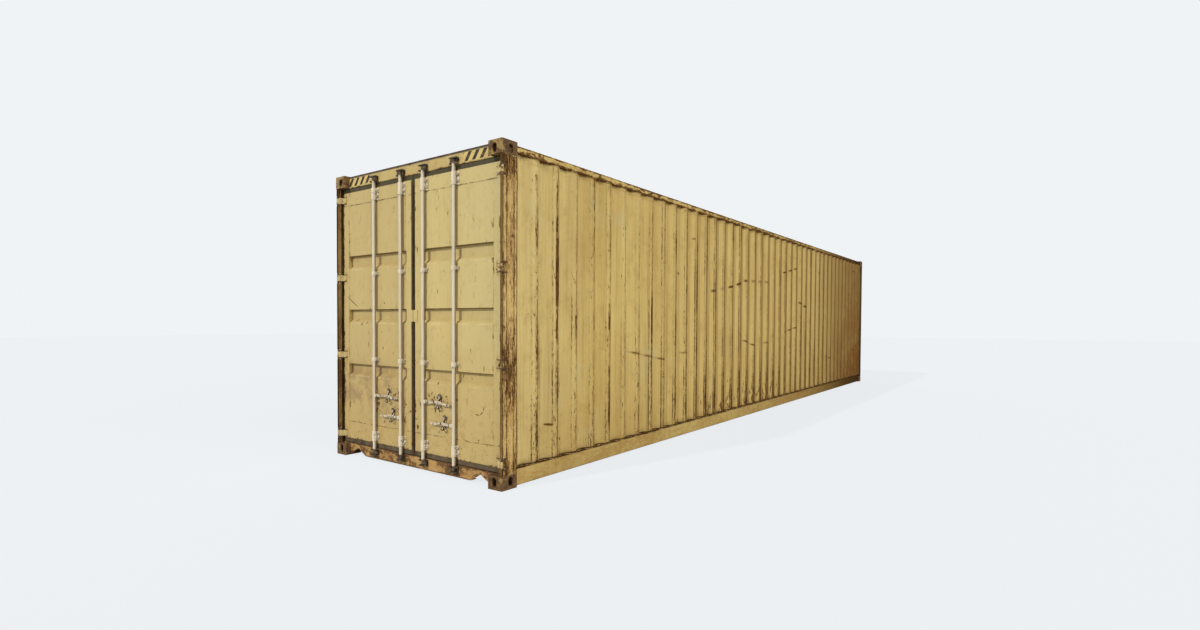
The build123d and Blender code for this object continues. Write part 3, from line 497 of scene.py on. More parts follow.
    # Long scratches where something dragged along the outer faces, and a few knocks
    proud = abs(y).ease(half_width - 0.041, half_width - 0.018)
    broken = finish.drawn(5, 0.7, 9.0, 9.0, 34.0).ease(0.3, 0.42)
    low_drag = (
        (0.0, 1.1, 0.0), (0.1526, 1.095, 0.8), (0.2198, 0.965, 0.0), (0.2461, 1.03, 0.6),
        (0.2723, 1.026, 0.0), (0.4085, 1.15, 1.0), (0.4446, 1.055, 0.0), (0.4716, 1.09, 0.7),
        (0.502, 1.08, 0.0), (0.5528, 1.245, 1.0), (0.6086, 1.33, 0.0), (0.7546, 0.74, 0.8),
        (0.7956, 0.66, 0.0), (0.9268, 0.83, 1.0), (0.9514, 0.75, 0.0),
    )
    high_drag = (
        (0.0, 1.81, 0.0), (0.3068, 1.81, 0.9), (0.3363, 1.84, 0.3), (0.3576, 1.885, 1.0),
        (0.3839, 1.93, 1.0), (0.4142, 2.025, 0.6), (0.4962, 2.06, 0.0), (0.6053, 1.81, 1.0),
        (0.6529, 1.69, 0.0),
    )
    top_drag = (
        (0.0, 2.468, 0.0), (0.2674, 2.468, 0.7), (0.2805, 2.46, 0.0), (0.5495, 2.255, 1.0),
        (0.6152, 2.40, 0.0), (0.9227, 2.66, 1.0), (0.9432, 2.60, 0.0),
    )
    scratch = strongest(
        finish.track(along, low_drag, 0.017) * (proud * 0.7 + 0.3),
        finish.track(along, high_drag, 0.026) * proud,
        finish.track(along, top_drag, 0.02) * proud,
    )
    scratch = scratch * broken
    knocks = (
        ((1.542, 1.46), (1.544, 1.31), 0.016), ((0.735, 0.96), (0.736, 0.92), 0.016),
        ((0.555, 0.481), (0.67, 0.466), 0.012), ((3.045, 2.02), (3.05, 1.98), 0.018),
        ((3.2, 1.87), (3.204, 1.74), 0.014), ((0.77, 0.325), (0.8, 0.31), 0.014),
    )
    scratch = strongest(scratch, *(finish.mark(*knock) for knock in knocks))

    # Dark rust along the two seams with the rails and beside the posts, and painted shadow at the
    # foot
    seam_noise = finish.drawn(5, 0.7, 7.0, 7.0, 40.0)
    foot = z.ease(0.182, 0.17)
    foot_stain = z.ease(0.235, 0.17) * seam_noise.ease(0.35, 0.6)
    head = z.ease(2.79, 2.8)
    head_stain = z.ease(2.70, 2.806) * seam_noise.ease(0.42, 0.62)
    beside_post = depth.ease(0.205, 0.184).at_least(depth.ease(11.985, 12.006))
    post_stain = beside_post * seam_noise.ease(0.3, 0.5) * 0.7
    finish.coat(strongest(foot_stain, head_stain * 0.8, post_stain) * 0.5, (138, 98, 52))

    rusty = strongest(
        crease_rust,
        hairline * 0.8,
        far_crease * thin_rust * 0.85,
        inner_crease * thin_rust * 0.7,
        freckles * 0.85,
        splash * 0.95,
        row_spots * 0.9,
        scratch * y.ease(0.1, -0.1),
        head * 0.4 * seam_noise.ease(0.36, 0.52),
    )
    halo = crease_level.ease(0.56, 0.66) * window.ease(0.0, 0.2)
    halo = halo.at_least(far_crease * thin_level.ease(0.5, 0.62) * 0.7)
    finish.coat(halo * 0.5, (142, 106, 56))
    finish.rusted(rusty, 26.0)
    # Dark band along the foot above the bottom rail: rust and painted shadow at the joint
    finish.coat(foot * (0.75 + seam_noise * 0.3).clamped(), (54, 36, 22))

    # The inner face is grey brown under its dust, and never saw the sun
    inward = (finish.facing()[1] * y).ease(0.02, -0.02)
    inner = finish.mix(finish.noise(2.2, 5, 0.6), (150, 146, 132), (116, 108, 92))
    inner = finish.mix(rusty * 0.6, inner, "rust")
    finish.coat(inward, inner)

    dents = finish.drawn(2, 0.4, 1.0, 1.0, 0.55, scale=1.7)
    height = dents * 1.1 + finish.noise(60.0, 3, 0.6) * 0.02 - rusty * 0.05
    roughness = finish.blend(rusty, 0.64 + (finish.noise(12.0, 3, 0.6) - 0.5) * 0.2, 0.92)
    return finish.close(roughness, height, 0.012, 0.8, 0.0)


def end_wall_finish():
    """Front end wall: the same paint, browned, with runs below the top rail."""
    finish = Finish("end_wall_paint")
    finish.fade((170, 142, 88), "brown_grime", 0.9)
    streaks = finish.drawn(6, 0.66, 8.0, 17.0, 0.7).ease(0.56, 0.7)
    finish.coat(streaks * 0.5, "brown_grime")
    low = finish.z.ease(1.1, 0.18)
    spots = (finish.noise(7.0, 7, 0.72) + low * 0.12).ease(0.64, 0.7)
    finish.rusted(spots)
    height = finish.noise(1.9, 2, 0.4) + finish.noise(55.0, 3, 0.6) * 0.02 - spots * 0.04
    return finish.close(finish.blend(spots, 0.58, 0.86), height, 0.01, 0.8, 0.35)


def post_finish():
    """Corner posts: yellow brown paint with long lines of rust, and dark rust in the folds."""
    finish = Finish("post_rust_and_paint")
    x, y, z = finish.x, finish.y, finish.z
    depth = front_plane - abs(x)
    inset = half_width - abs(y)
    finish.fade((214, 182, 118), "dirty_paint", 1.0)
    shreds = finish.drawn(9, 0.8, 90.0, 90.0, 15.0)
    broad = finish.drawn(5, 0.62, 9.0, 9.0, 1.6)
    flecks = finish.drawn(7, 0.78, 200.0, 200.0, 70.0)
    ends = z.ease(0.42, 0.12).at_least(z.ease(2.5, 2.78))
    middle_patch = z.between(0.5, 0.8, 1.0, 1.5)
    level = shreds * 0.5 + broad * 0.26 + flecks * 0.24 + ends * 0.05 + middle_patch * 0.03
    worn = level.ease(0.512, 0.528)
    lines = strongest(
        depth.near(0.014, 0.007, 0.003),
        depth.near(0.056, 0.007, 0.002),
        depth.near(0.176, 0.008, 0.003),
        abs(depth - 0.143 - (broad - 0.5) * 0.03).ease(0.011, 0.005) * 0.8,
    )
    on_side = inset.ease(0.006, 0.004)
    line_rust = lines * on_side * (shreds * 0.5 + flecks * 0.5).ease(0.43, 0.47)
    recess = depth.ease(0.027, 0.034) * inset.ease(0.026, 0.03)
    front = depth.ease(0.011, 0.007) * inset.ease(0.03, 0.0265)
    lip = inset.ease(0.024, 0.027) * depth.ease(0.034, 0.03)
    finish.coat(level.ease(0.45, 0.52) * 0.5, (156, 116, 66))
    metal = finish.mix(level.ease(0.52, 0.57), (132, 90, 46), (50, 34, 21))
    metal = finish.mix(finish.noise(90.0, 4, 0.7).ease(0.5, 0.7) * 0.6, metal, (150, 104, 58))
    finish.coat(worn * 0.92, metal)
    finish.coat(line_rust * 0.9, (50, 34, 22))
    on_left = y.ease(-0.1, 0.1)
    front_wear = (0.62 + shreds * 0.3 + on_left * 0.3).clamped()
    finish.coat(front * front_wear, finish.mix(on_left, (84, 62, 36), (46, 33, 20)))
    finish.coat(lip * (0.35 + broad * 0.5).clamped(), (104, 78, 44))
    # Recess: painted shade, nearly black, on the left post; painted lighter on the right post to
    # lift its shade; rust where worn
    sunk = finish.mix(on_left, (116, 80, 44), (27, 20, 13))
    sunk = finish.mix(worn * y.ease(0.1, -0.1), sunk, (52, 36, 24))
    finish.coat(recess * (0.78 + broad * 0.3).clamped(), sunk)
    finish.coat(x.ease(-0.1, 0.1) * 0.85, (36, 25, 14))
    height = finish.pitted(worn, 90.0, 5)
    return finish.close(finish.blend(worn, 0.6, 0.88), height, 0.003, 0.9, 0.0)


def casting_finish():
    """Corner castings: rough brown rust with scraps of rubbed paint and dark pocks."""
    finish = Finish("casting_rust")
    depth = front_plane - abs(finish.x)
    grain = finish.noise(30.0, 7, 0.72)
    finish.base = finish.mix(grain.ease(0.34, 0.64), (62, 42, 24), (118, 86, 44))
    finish.coat(finish.noise(6.0, 4, 0.6).ease(0.45, 0.7) * 0.6, (88, 60, 36))
    front = depth.ease(0.014, 0.004) * finish.z.ease(1.0, 1.2)
    scraps = (finish.noise(14.0, 8, 0.75) + front * 0.1).ease(0.56, 0.62)
    finish.coat(scraps * 0.75, (166, 140, 84))
    pocks = finish.noise(46.0, 6, 0.75).ease(0.62, 0.68)
    finish.coat(pocks * 0.8, (40, 30, 22))
    height = finish.noise(120.0, 6, 0.75) * 0.6 + finish.noise(22.0, 5, 0.6) * 0.8 - pocks * 0.3
    roughness = 0.74 + (finish.noise(40.0, 3, 0.6) - 0.5) * 0.3
    return finish.close(roughness, height, 0.004, 1.0, 0.35)


def rail_finish(name, top):
    """Side rails: the top one rusty along both edges, the bottom one plain dusty paint."""
    finish = Finish(name)
    z = finish.z
    along = (finish.x - door_plane) / box_length
    finish.fade("side_paint", "dirty_paint", 0.9)
    browned = (along + (finish.noise(0.6, 3, 0.5) - 0.5) * 0.2).ease(0.28, 0.95)
    finish.coat((0.06 if top else 0.2) + browned * 0.62, "brown_grime")
    ragged = finish.drawn(8, 0.76, 13.0, 34.0, 34.0)
    broad = finish.drawn(4, 0.6, 2.2, 8.0, 8.0)
    if top:
        edges = z.ease(2.85, 2.862).at_least(z.ease(2.83, 2.816))
        level = ragged * 0.75 + broad * 0.25 + edges * 0.09
        worn = level.ease(0.52, 0.54)
        line = z.ease(2.861, 2.865).at_least(z.ease(2.8145, 2.8105)) * ragged.ease(0.3, 0.45)
    else:
        edges = z.ease(0.145, 0.156).at_least(z.ease(0.03, 0.017))
        level = ragged * 0.65 + broad * 0.35 + edges * 0.1
        worn = level.ease(0.62, 0.66)
        line = z.ease(0.1535, 0.1565).at_least(z.ease(0.0215, 0.0175)) * ragged.ease(0.26, 0.4)
    finish.coat(level.ease(0.46, 0.54) * (0.6 if top else 0.35), (150, 104, 52))
    finish.rusted(worn * 0.85, 24.0)
    if top:
        finish.coat(level.ease(0.54, 0.58) * 0.3, (54, 38, 24))
        finish.coat(line * 0.7, (94, 64, 36))
    else:
        # Dark line along the top edge, where the wall meets the rail, is rust and painted shadow;
        # rust also along the foot
        finish.coat(line * 0.85, (66, 42, 22))
    finish.coat(along.ease(0.62, 0.98) * 0.85, (48, 31, 16))
    height = finish.pitted(worn, 70.0, 4) + finish.noise(3.0, 2, 0.4) * 1.5
    return finish.close(finish.blend(worn, 0.58, 0.86), height, 0.003, 0.9, 0.0)


def header_finish():
    """Door header: door paint, a rusty top edge and slanted dark stripes at both ends."""
    finish = Finish("header_paint")
    x, y, z = finish.x, finish.y, finish.z
    finish.fade("door_paint", "dirty_paint", 0.9)
    finish.coat(0.35, (196, 170, 96))
    bands = y.between(0.695, 0.7, 1.06, 1.065)
    bands = bands.at_least(y.between(-1.02, -1.015, -0.695, -0.69))
    front = x.ease(door_plane + 0.0555, door_plane + 0.0545)
    tall = z.between(2.787, 2.79, 2.865, 2.868)
    field = bands * tall * front
    finish.coat(field * 0.55, (224, 196, 116))
    slant = y * -1 - (z - 2.82) * 0.7 + 0.013 + y.ease(0.1, -0.1) * 0.055
    stripe_pitch = 0.096
    bars = ((slant / stripe_pitch) % 1.0).near(0.5, 0.25, 0.215)
    stripes = bars * field * finish.noise(26.0, 5, 0.7).ease(0.26, 0.4)
    finish.coat(stripes, "stripe")
    ragged = finish.drawn(8, 0.74, 20.0, 11.0, 24.0)
    level = ragged + z.ease(2.868, 2.889) * 0.2 + z.ease(2.79, 2.775) * 0.13
    finish.coat(level.ease(0.52, 0.66) * 0.55, (150, 110, 60))
    worn = level.ease(0.655, 0.7)
    finish.rusted(worn, 24.0)
    finish.coat(z.ease(2.867, 2.872) * ragged.ease(0.3, 0.4) * 0.9, (50, 34, 20))
    height = finish.noise(4.0, 2, 0.4) * 1.4 + finish.pitted(worn, 70.0, 4)
    return finish.close(finish.blend(worn, 0.56, 0.86), height, 0.003, 0.8, 0.35)


def sill_finish():
    """Door sill: paint scraped to brown by feet, forks and ropes."""
    finish = Finish("sill_rust_and_paint")
    z = finish.z
    finish.fade((188, 152, 92), "dirty_paint", 1.2)
    scraped = finish.drawn(9, 0.76, 18.0, 10.0, 20.0)
    broad = finish.noise(3.6, 5, 0.65)
    edges = z.ease(0.112, 0.127).at_least(z.ease(0.034, 0.018))
    level = scraped * 0.6 + broad * 0.4 + edges * 0.07
    finish.coat(level.ease(0.4, 0.52) * 0.7, (152, 108, 60))
    worn = level.ease(0.485, 0.52)
    finish.rusted(worn * 0.85, 26.0)
    finish.coat(finish.noise(6.0, 5, 0.6).ease(0.5, 0.8) * 0.4, (92, 68, 42))
    finish.coat(z.ease(0.1215, 0.126) * scraped.ease(0.3, 0.45) * 0.8, (62, 46, 30))
    height = scraped * 1.4 + finish.noise(80.0, 5, 0.7) * 0.4
    return finish.close(finish.blend(worn, 0.6, 0.86), height, 0.003, 0.9, 0.3)


def door_finish(name, panel):
    """Doors: chalky paint, rust at the seams, freckles low down and dirt in the grooves."""
    finish = Finish(name)
    y, z = finish.y, finish.z
    sideways = abs(y)
    finish.fade("door_paint", "side_paint", 0.9)
    finish.coat(y.ease(-0.1, 0.3) * 0.6, (190, 166, 108))
    finish.coat(z.ease(1.7, 0.2) * 0.6, (184, 154, 92))
    low = z.ease(1.0, 0.2)
    mottle = finish.noise(11.0, 6, 0.7).ease(0.5, 0.68)
    finish.coat(mottle * (0.24 + low * 0.3), "dirty_paint")
    pale = finish.noise(5.0, 6, 0.7).ease(0.55, 0.75)
    finish.coat(pale * 0.25, (222, 208, 156))
    runs = finish.drawn(5, 0.65, 26.0, 26.0, 0.8).ease(0.54, 0.76)
    finish.coat(runs * 0.3, "dirty_paint")
    dirty_left = y.ease(0.2, 0.5) * z.near(0.72, 0.4, 0.05)
    finish.coat(dirty_left * finish.noise(5.0, 5, 0.65).ease(0.4, 0.6) * 0.8, (150, 126, 86))

    spots = (finish.noise(21.0, 7, 0.72) + low * 0.06).ease(0.685, 0.7)
    fine_spots = (finish.noise(48.0, 6, 0.74) + low * 0.075).ease(0.7, 0.715)
    handle_zone = z.between(0.3, 0.4, 0.72, 0.86) * sideways.ease(0.72, 0.6)
    handle_rust = (finish.noise(13.0, 7, 0.72) + handle_zone * 0.06).ease(0.64, 0.67) * handle_zone
    if panel:
        outer_edge = sideways.ease(1.035, 1.064) * 0.7
        inner_edge = sideways.ease(0.14, 0.12) * 0.5
    else:
        outer_edge = sideways.ease(1.12, 1.158)
        inner_edge = sideways.ease(0.05, 0.026) * 0.55
    ends = z.ease(0.2, 0.178).at_least(z.ease(2.705, 2.727) * 0.4) * 0.8
    ragged = finish.drawn(9, 0.76, 16.0, 24.0, 8.0)
    edge_level = ragged + strongest(outer_edge, inner_edge, ends) * 0.13
    edge_rust = edge_level.ease(0.635, 0.66)
    seam_spots = finish.drawn(6, 0.74, 14.0, 14.0, 60.0).ease(0.46, 0.56)
    side_spots = finish.drawn(6, 0.74, 60.0, 60.0, 12.0).ease(0.48, 0.58)
    seams = z.near(2.594, 0.009, 0.003).at_least(z.near(0.352, 0.01, 0.003)) * seam_spots
    upright = sideways.near(1.068, 0.007, 0.002).at_least(sideways.near(0.121, 0.006, 0.002))
    seams = seams.at_least(upright * side_spots * 0.8)
    worn = strongest(spots, fine_spots, handle_rust, edge_rust, seams * 0.7)
    marks = (
        ((1.128, 1.668), (0.885, 1.53), 0.006), ((-0.838, 0.598), (-0.894, 0.594), 0.006),
        ((-0.894, 0.594), (-0.943, 0.633), 0.006), ((-0.943, 0.633), (-0.95, 0.675), 0.006),
        ((0.977, 1.393), (0.94, 1.42), 0.007), ((0.86, 1.352), (0.82, 1.385), 0.009),
        ((0.77, 1.37), (0.75, 1.395), 0.007), ((0.49, 1.14), (0.478, 1.125), 0.012),
        ((0.462, 1.585), (0.458, 1.57), 0.01), ((0.51, 1.295), (0.5, 1.285), 0.008),
        ((-0.35, 0.85), (-0.35, 0.82), 0.01), ((-0.3, 0.62), (-0.32, 0.56), 0.012),
        ((-0.36, 0.6), (-0.38, 0.57), 0.01),
    )
    for start, end, width in marks:
        worn = worn.at_least(finish.mark(start, end, width, "y") * 0.9)
    if panel:
        in_groove = (finish.x - door_plane).ease(0.07, 0.09)
        for top, foot in grooves:
            lip = z.near(top - 0.005, 0.007, 0.003)
            lip = lip * finish.drawn(5, 0.7, 5.0, 8.0, 8.0).ease(0.26, 0.4)
            worn = worn.at_least(lip * 0.8)
            settled = z.between(foot - 0.004, foot + 0.004, top - 0.008, top + 0.002)
            held = settled * in_groove
            finish.coat(held * 0.2, "dirty_paint")
            ends_dirt = held * sideways.ease(1.052, 1.064).at_least(sideways.ease(0.135, 0.122))
            finish.coat(ends_dirt * 0.8, (110, 84, 48))
            ledge = z.near(foot, 0.012, 0.0) * finish.noise(8.0, 5, 0.7).ease(0.45, 0.6)
            finish.coat(ledge * 0.4, (226, 210, 158))
    else:
        to_hinge = away_from(z, hinge_heights)
        # Rust and painted shade in a thin ring round each hinge blade
        outline = to_hinge.near(0.035, 0.006, 0.002) * sideways.ease(1.096, 1.102)
        worn = worn.at_least(outline * ragged.ease(0.28, 0.42) * 0.85)
        below = to_hinge.ease(0.09, 0.034) * sideways.ease(1.09, 1.105) * ragged.ease(0.4, 0.55)
        finish.coat(below * 0.55, (140, 100, 56))
        lip = y.between(0.01, 0.02, 0.034, 0.0355) * abs(z - 1.452).ease(0.055, 0.058)
        finish.coat(lip * 0.9, (84, 76, 50))
        beside_grooves = strongest(
            *(z.between(foot + 0.02, foot + 0.03, top - 0.006, top) for top, foot in grooves)
        )
        # Rust and painted shade on the stile's edge over each groove's inner end
        groove_end_shade_and_rust = beside_grooves * y.near(0.1115, 0.0085, 0.005)
        worn = worn.at_least(groove_end_shade_and_rust * ragged.ease(0.3, 0.4) * 0.85)
    finish.coat(edge_level.ease(0.56, 0.66) * 0.4, (160, 120, 66))
    finish.rusted(worn, 26.0)
    height = finish.noise(2.4, 2, 0.4) * 1.6 + finish.noise(70.0, 3, 0.6) * 0.03 - worn * 0.12
    roughness = finish.blend(worn, 0.56 + (finish.noise(10.0, 3, 0.6) - 0.5) * 0.2, 0.86)
    return finish.close(roughness, height, 0.005, 0.8, 0.35)


def gasket_finish():
    """Gasket: dark rubber gone brown, chalky along the foot and washed with rust in places."""
    finish = Finish("gasket_rubber")
    y, z = finish.y, finish.z
    chalk = finish.noise(14.0, 5, 0.65)
    finish.base = finish.mix(chalk.ease(0.35, 0.7), (54, 42, 28), "gasket")
    by_post = abs(y).ease(1.1, 1.13) * y.ease(0.1, -0.1)
    finish.coat(by_post * chalk.ease(0.4, 0.55), (124, 90, 52))
    dusty = z.ease(0.2, 0.16) * finish.noise(9.0, 5, 0.65).ease(0.3, 0.5)
    finish.coat(dusty * 0.55, (116, 102, 80))
    wash = finish.drawn(5, 0.65, 9.0, 7.0, 1.6).ease(0.56, 0.72)
    finish.coat(wash * 0.55, (94, 68, 40))
    # Painted shade in the gap where the two doors meet
    finish.coat(abs(y).ease(0.05, 0.03) * 0.6, (58, 40, 22))
    # Greyer along the top, and painted lighter to lift the shade under the header
    finish.coat(z.ease(2.66, 2.7) * (chalk * 0.5 + 0.5), (86, 81, 62))
    return finish.close(0.85, finish.noise(160.0, 3, 0.6), 0.0015, 0.7, 0.12)


def gear_finish(name, kind):
    """Lock gear: pale paint with stains and rust at joints and knocks, with painted shade and
    highlights.
    """
    finish = Finish(name)
    z = finish.z
    runs = finish.drawn(5, 0.65, 60.0, 60.0, 2.2)
    finish.base = finish.mix(runs.ease(0.42, 0.72) * 0.6, "gear_paint", (178, 158, 124))
    blotch = finish.noise(3.4, 4, 0.6)
    finish.coat(blotch.ease(0.5, 0.75) * 0.4, (206, 184, 160))
    grain = finish.drawn(8, 0.74, 46.0, 46.0, 14.0)
    normal_x, normal_y, normal_z = finish.facing()
    if kind == "rod":
        # Painted shade, darker brown, down the side of each rod turned from the key light
        rod_shaded_side = (normal_x * 0.59 - normal_y * 0.81).ease(0.5, 0.72)
        finish.coat(rod_shaded_side * (0.5 + runs * 0.4), (98, 74, 46))
        feet = z.ease(0.128, 0.116).at_least(z.ease(2.775, 2.79))
        brackets = ((0.205, 0.3), (0.996, 1.04), (1.848, 1.892), (2.6, 2.716))
        by_brackets = strongest(*(
            z.between(low - 0.03, low - 0.002, high + 0.002, high + 0.03) for low, high in brackets
        ))
        worn = (grain + by_brackets * 0.07).ease(0.655, 0.7)
        worn = worn.at_least(feet * grain.ease(0.3, 0.42))
    elif kind == "forged":
        # Rust and painted shade on the undersides, and a painted highlight on the tops
        worn = (grain - normal_z * 0.3).ease(0.49, 0.55)
        finish.coat(normal_z.ease(0.3, 0.9) * 0.7, (228, 216, 192))
    else:
        # Painted highlight on the front faces; rust and painted shade gather on the undersides and
        # backs
        finish.coat(normal_x.ease(-0.6, -0.9) * 0.5, (230, 220, 196))
        worn = (finish.noise(34.0, 7, 0.72) - normal_z * 0.2 + normal_x * 0.06).ease(0.56, 0.6)
    # Dark bare metal where worn, which on handles and brackets also carries the painted shade
    metal = finish.mix(finish.noise(60.0, 4, 0.6).ease(0.4, 0.6), (48, 37, 28), (88, 64, 42))
    finish.coat(worn * 0.95, metal)
    height = finish.noise(90.0, 4, 0.65) * 0.25 - worn * 0.3 + finish.noise(9.0, 2, 0.4)
    return finish.close(finish.blend(worn, 0.5, 0.84), height, 0.0015, 0.8, 0.4)


@functools.cache
def keeper_finish():
    """Keepers and pins: dark oily rust with dull knocks."""
    finish = Finish("keeper_rust")
    grain = finish.noise(44.0, 6, 0.7)
    finish.base = finish.mix(grain.ease(0.35, 0.65), (36, 28, 21), (72, 54, 34))
    knocks = finish.noise(16.0, 5, 0.65).ease(0.58, 0.68)
    finish.coat(knocks * 0.6, (150, 126, 84))
    height = finish.noise(110.0, 5, 0.7)
    roughness = 0.66 + (grain - 0.5) * 0.3
    return finish.close(roughness, height, 0.002, 1.0, 0.4)


def hinge_finish():
    """Hinge blades and lugs: yellow paint, rust and painted shade along the edges, worn off the
    knuckles.
    """
    finish = Finish("hinge_paint")
    y, z = finish.y, finish.z
    inset = half_width - abs(y)
    finish.fade("door_paint", "dirty_paint", 1.0)
    grain = finish.noise(38.0, 7, 0.72)
    # Rust and painted shade along the blades' top and bottom edges
    edge_rust_and_shade = away_from(z, hinge_heights).ease(0.0255, 0.0305)
    upper_pair = z.between(1.6, 1.8, 2.0, 2.2)
    low_pair = z.between(0.8, 0.9, 1.1, 1.2)
    knuckle = inset.ease(0.045, 0.03)
    rusty_pairs = (upper_pair + low_pair) * y.ease(0.0, -0.1)
    level = grain + edge_rust_and_shade * 0.12 + knuckle * 0.08 + rusty_pairs * 0.07
    worn = level.ease(0.6, 0.65)
    finish.coat(level.ease(0.5, 0.6) * 0.5, (156, 116, 64))
    finish.rusted(worn, 40.0)
    height = grain * 0.8 + (1 - worn) * 0.3
    return finish.close(finish.blend(worn, 0.58, 0.86), height, 0.002, 0.9, 0.35)


def roof_finish():
    """Roof: paint chalked and browned, with rust along the ribs where water lies."""
    finish = Finish("roof_paint")
    finish.fade((190, 166, 108), "dirty_paint", 1.2)
    ponds = finish.noise(1.1, 6, 0.66)
    valley = finish.z.ease(2.873, 2.869)
    finish.coat((ponds.ease(0.42, 0.66) * (0.35 + valley * 0.5)).clamped(), (128, 92, 54))
    spots = (finish.noise(8.0, 8, 0.74) + valley * 0.04 + ponds * 0.08).ease(0.64, 0.7)
    finish.rusted(spots, 14.0)
    height = finish.noise(1.3, 2, 0.4) * 2.0 + finish.noise(60.0, 4, 0.7) * (0.05 + spots * 0.3)
    return finish.close(finish.blend(spots, 0.62, 0.88), height, 0.005, 0.8, 0.3)


def underframe_finish():
    """Underframe: black bituminous coating gone brown, dusted with road dirt."""
    finish = Finish("underframe_coating")
    lumps = finish.noise(24.0, 5, 0.65)
    finish.base = finish.mix(lumps.ease(0.35, 0.7), (44, 40, 36), (72, 62, 50))
    rusty = finish.noise(6.0, 7, 0.72).ease(0.56, 0.64)
    finish.rusted(rusty, 20.0)
    height = lumps + finish.noise(90.0, 3, 0.6) * 0.3
    return finish.close(finish.blend(rusty, 0.7, 0.88), height, 0.003, 0.9, 0.35)


def floor_finish():
    """Plywood floor: long grain, board joints, dark scuffs and dust."""
    finish = Finish("floor_plywood")
    z = finish.z
    grain = finish.drawn(7, 0.65, 2.2, 60.0, 60.0, distortion=0.6)
    fine = finish.drawn(4, 0.6, 9.0, 330.0, 330.0)
    finish.base = finish.mix(grain.ease(0.3, 0.72), (146, 104, 62), (96, 62, 36))
    finish.coat(fine.ease(0.4, 0.75) * 0.45, (70, 46, 28))
    scuffs = finish.drawn(6, 0.7, 3.0, 9.0, 9.0).ease(0.55, 0.68)
    finish.coat(scuffs * 0.5, (58, 48, 38))
    dust = finish.noise(0.9, 5, 0.6).ease(0.42, 0.7)
    finish.coat(dust * 0.4, (150, 138, 116))
    edge = z.ease(0.1705, 0.169)
    ply_thickness = 2.4
    plies = abs((z * 1000 / ply_thickness) % 1.0 - 0.5).ease(0.2, 0.3)
    finish.coat(edge * plies * 0.6, (72, 48, 30))
    return finish.close(0.7, grain * 0.5 + fine * 0.4, 0.0012, 0.8, 0.3)


@functools.cache
def weld_finish():
    """Weld beads under the paint, rusting at the toes."""
    finish = Finish("weld_paint_and_rust")
    along = (finish.x - door_plane) / box_length
    finish.fade("side_paint", "dirty_paint", 1.2)
    finish.coat(along.ease(0.35, 1.0) * 0.7, "brown_grime")
    worn = finish.noise(22.0, 7, 0.74).ease(0.44, 0.52)
    finish.rusted(worn, 40.0)
    return finish.close(0.78, finish.noise(140.0, 4, 0.7), 0.002, 1.0, 0.3)


@functools.cache
def bolt_finish():
    """Bolts and washers: dull zinc gone brown."""
    finish = Finish("bolt_zinc")
    stain = finish.noise(80.0, 5, 0.7)
    finish.base = finish.mix(stain.ease(0.42, 0.62), (204, 192, 164), (112, 84, 52))
    return finish.close(0.6, finish.noise(220.0, 4, 0.7), 0.0008, 0.8, 0.3)


def paint_nodes(material, *patterns):
    """Gives CAD nodes a finish through their material slots. A star stands for any letters."""
    for pattern in patterns:
        names = fnmatch.filter(nodes, pattern)
        if not names:
            raise RuntimeError(f"the packed model has no node {pattern}")
        for name in names:
            mesh = nodes[name].data
            mesh.materials.clear()
            mesh.materials.append(material)
            for face in mesh.polygons:
                face.material_index = 0


# Mesh helpers


def piece_from(builder, name, body, material, smooth=True):
    """Turns a bmesh into a named piece that rides on a body."""
    mesh = bpy.data.meshes.new(name)
    builder.normal_update()
    builder.to_mesh(mesh)
    builder.free()
    if smooth:
        mesh.shade_smooth()
    piece = bpy.data.objects.new(name, mesh)
    bpy.context.scene.collection.objects.link(piece)
    mesh.materials.append(material)
    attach(piece, body)
    return piece


def soften(piece, width, angle):
    """Cuts the edges of a piece that are sharper than an angle in degrees."""
    bevel = piece.modifiers.new("soft_edges", "BEVEL")
    bevel.width = width
    bevel.segments = 1
    bevel.limit_method = "ANGLE"
    bevel.angle_limit = math.radians(angle)
    bevel.harden_normals = False


def add_rings(builder, rings):
    """Skins a row of equal rings of points and closes the ends."""
    loops = [[builder.verts.new(point) for point in ring] for ring in rings]
    for low, high in zip(loops, loops[1:]):
        count = len(low)
        for index in range(count):
            after = (index + 1) % count
            builder.faces.new((low[index], low[after], high[after], high[index]))
    builder.faces.new(loops[0][::-1])
    builder.faces.new(loops[-1])


def ring_about(centre, axis, radius, count, start=0.0, side=None):
    """Points of a circle or polygon about an axis."""
    side = side or axis.orthogonal().normalized()
    other = axis.cross(side)
    turns = [start + math.tau * index / count for index in range(count)]
    return [centre + (side * math.cos(turn) + other * math.sin(turn)) * radius for turn in turns]


def add_turned(builder, foot, axis, profile, count, start=0.0):
    """Turned piece standing on a face, from rows of rise and radius."""
    foot = Vector(foot)
    axis = Vector(axis)
    places = [(foot + axis * rise, radius) for rise, radius in profile]
    add_rings(builder, [ring_about(spot, axis, radius, count, start) for spot, radius in places])


def add_bolt(builder, foot, axis, radius, turn):
    """Washer, hexagon head with a rounded top and a stub of thread."""
    washer = ((0.0, 1.38), (0.06, 1.45), (0.2, 1.45), (0.26, 1.36))
    head = ((0.24, 0.93), (0.3, 1.0), (0.86, 1.0), (0.98, 0.9))
    stub = ((0.9, 0.52), (1.28, 0.52), (1.36, 0.44))
    for count, start, shares in ((20, 0.0, washer), (6, turn, head), (12, 0.0, stub)):
        profile = [(rise * radius, share * radius) for rise, share in shares]
        add_turned(builder, foot, axis, profile, count, start)


def add_rivet(builder, foot, axis, radius, rise):
    """Low domed head."""
    dome = ((0.0, 1.0), (0.45, 0.94), (0.8, 0.68), (1.0, 0.3))
    profile = [(height * rise, share * radius) for height, share in dome]
    add_turned(builder, foot, axis, profile, 10)


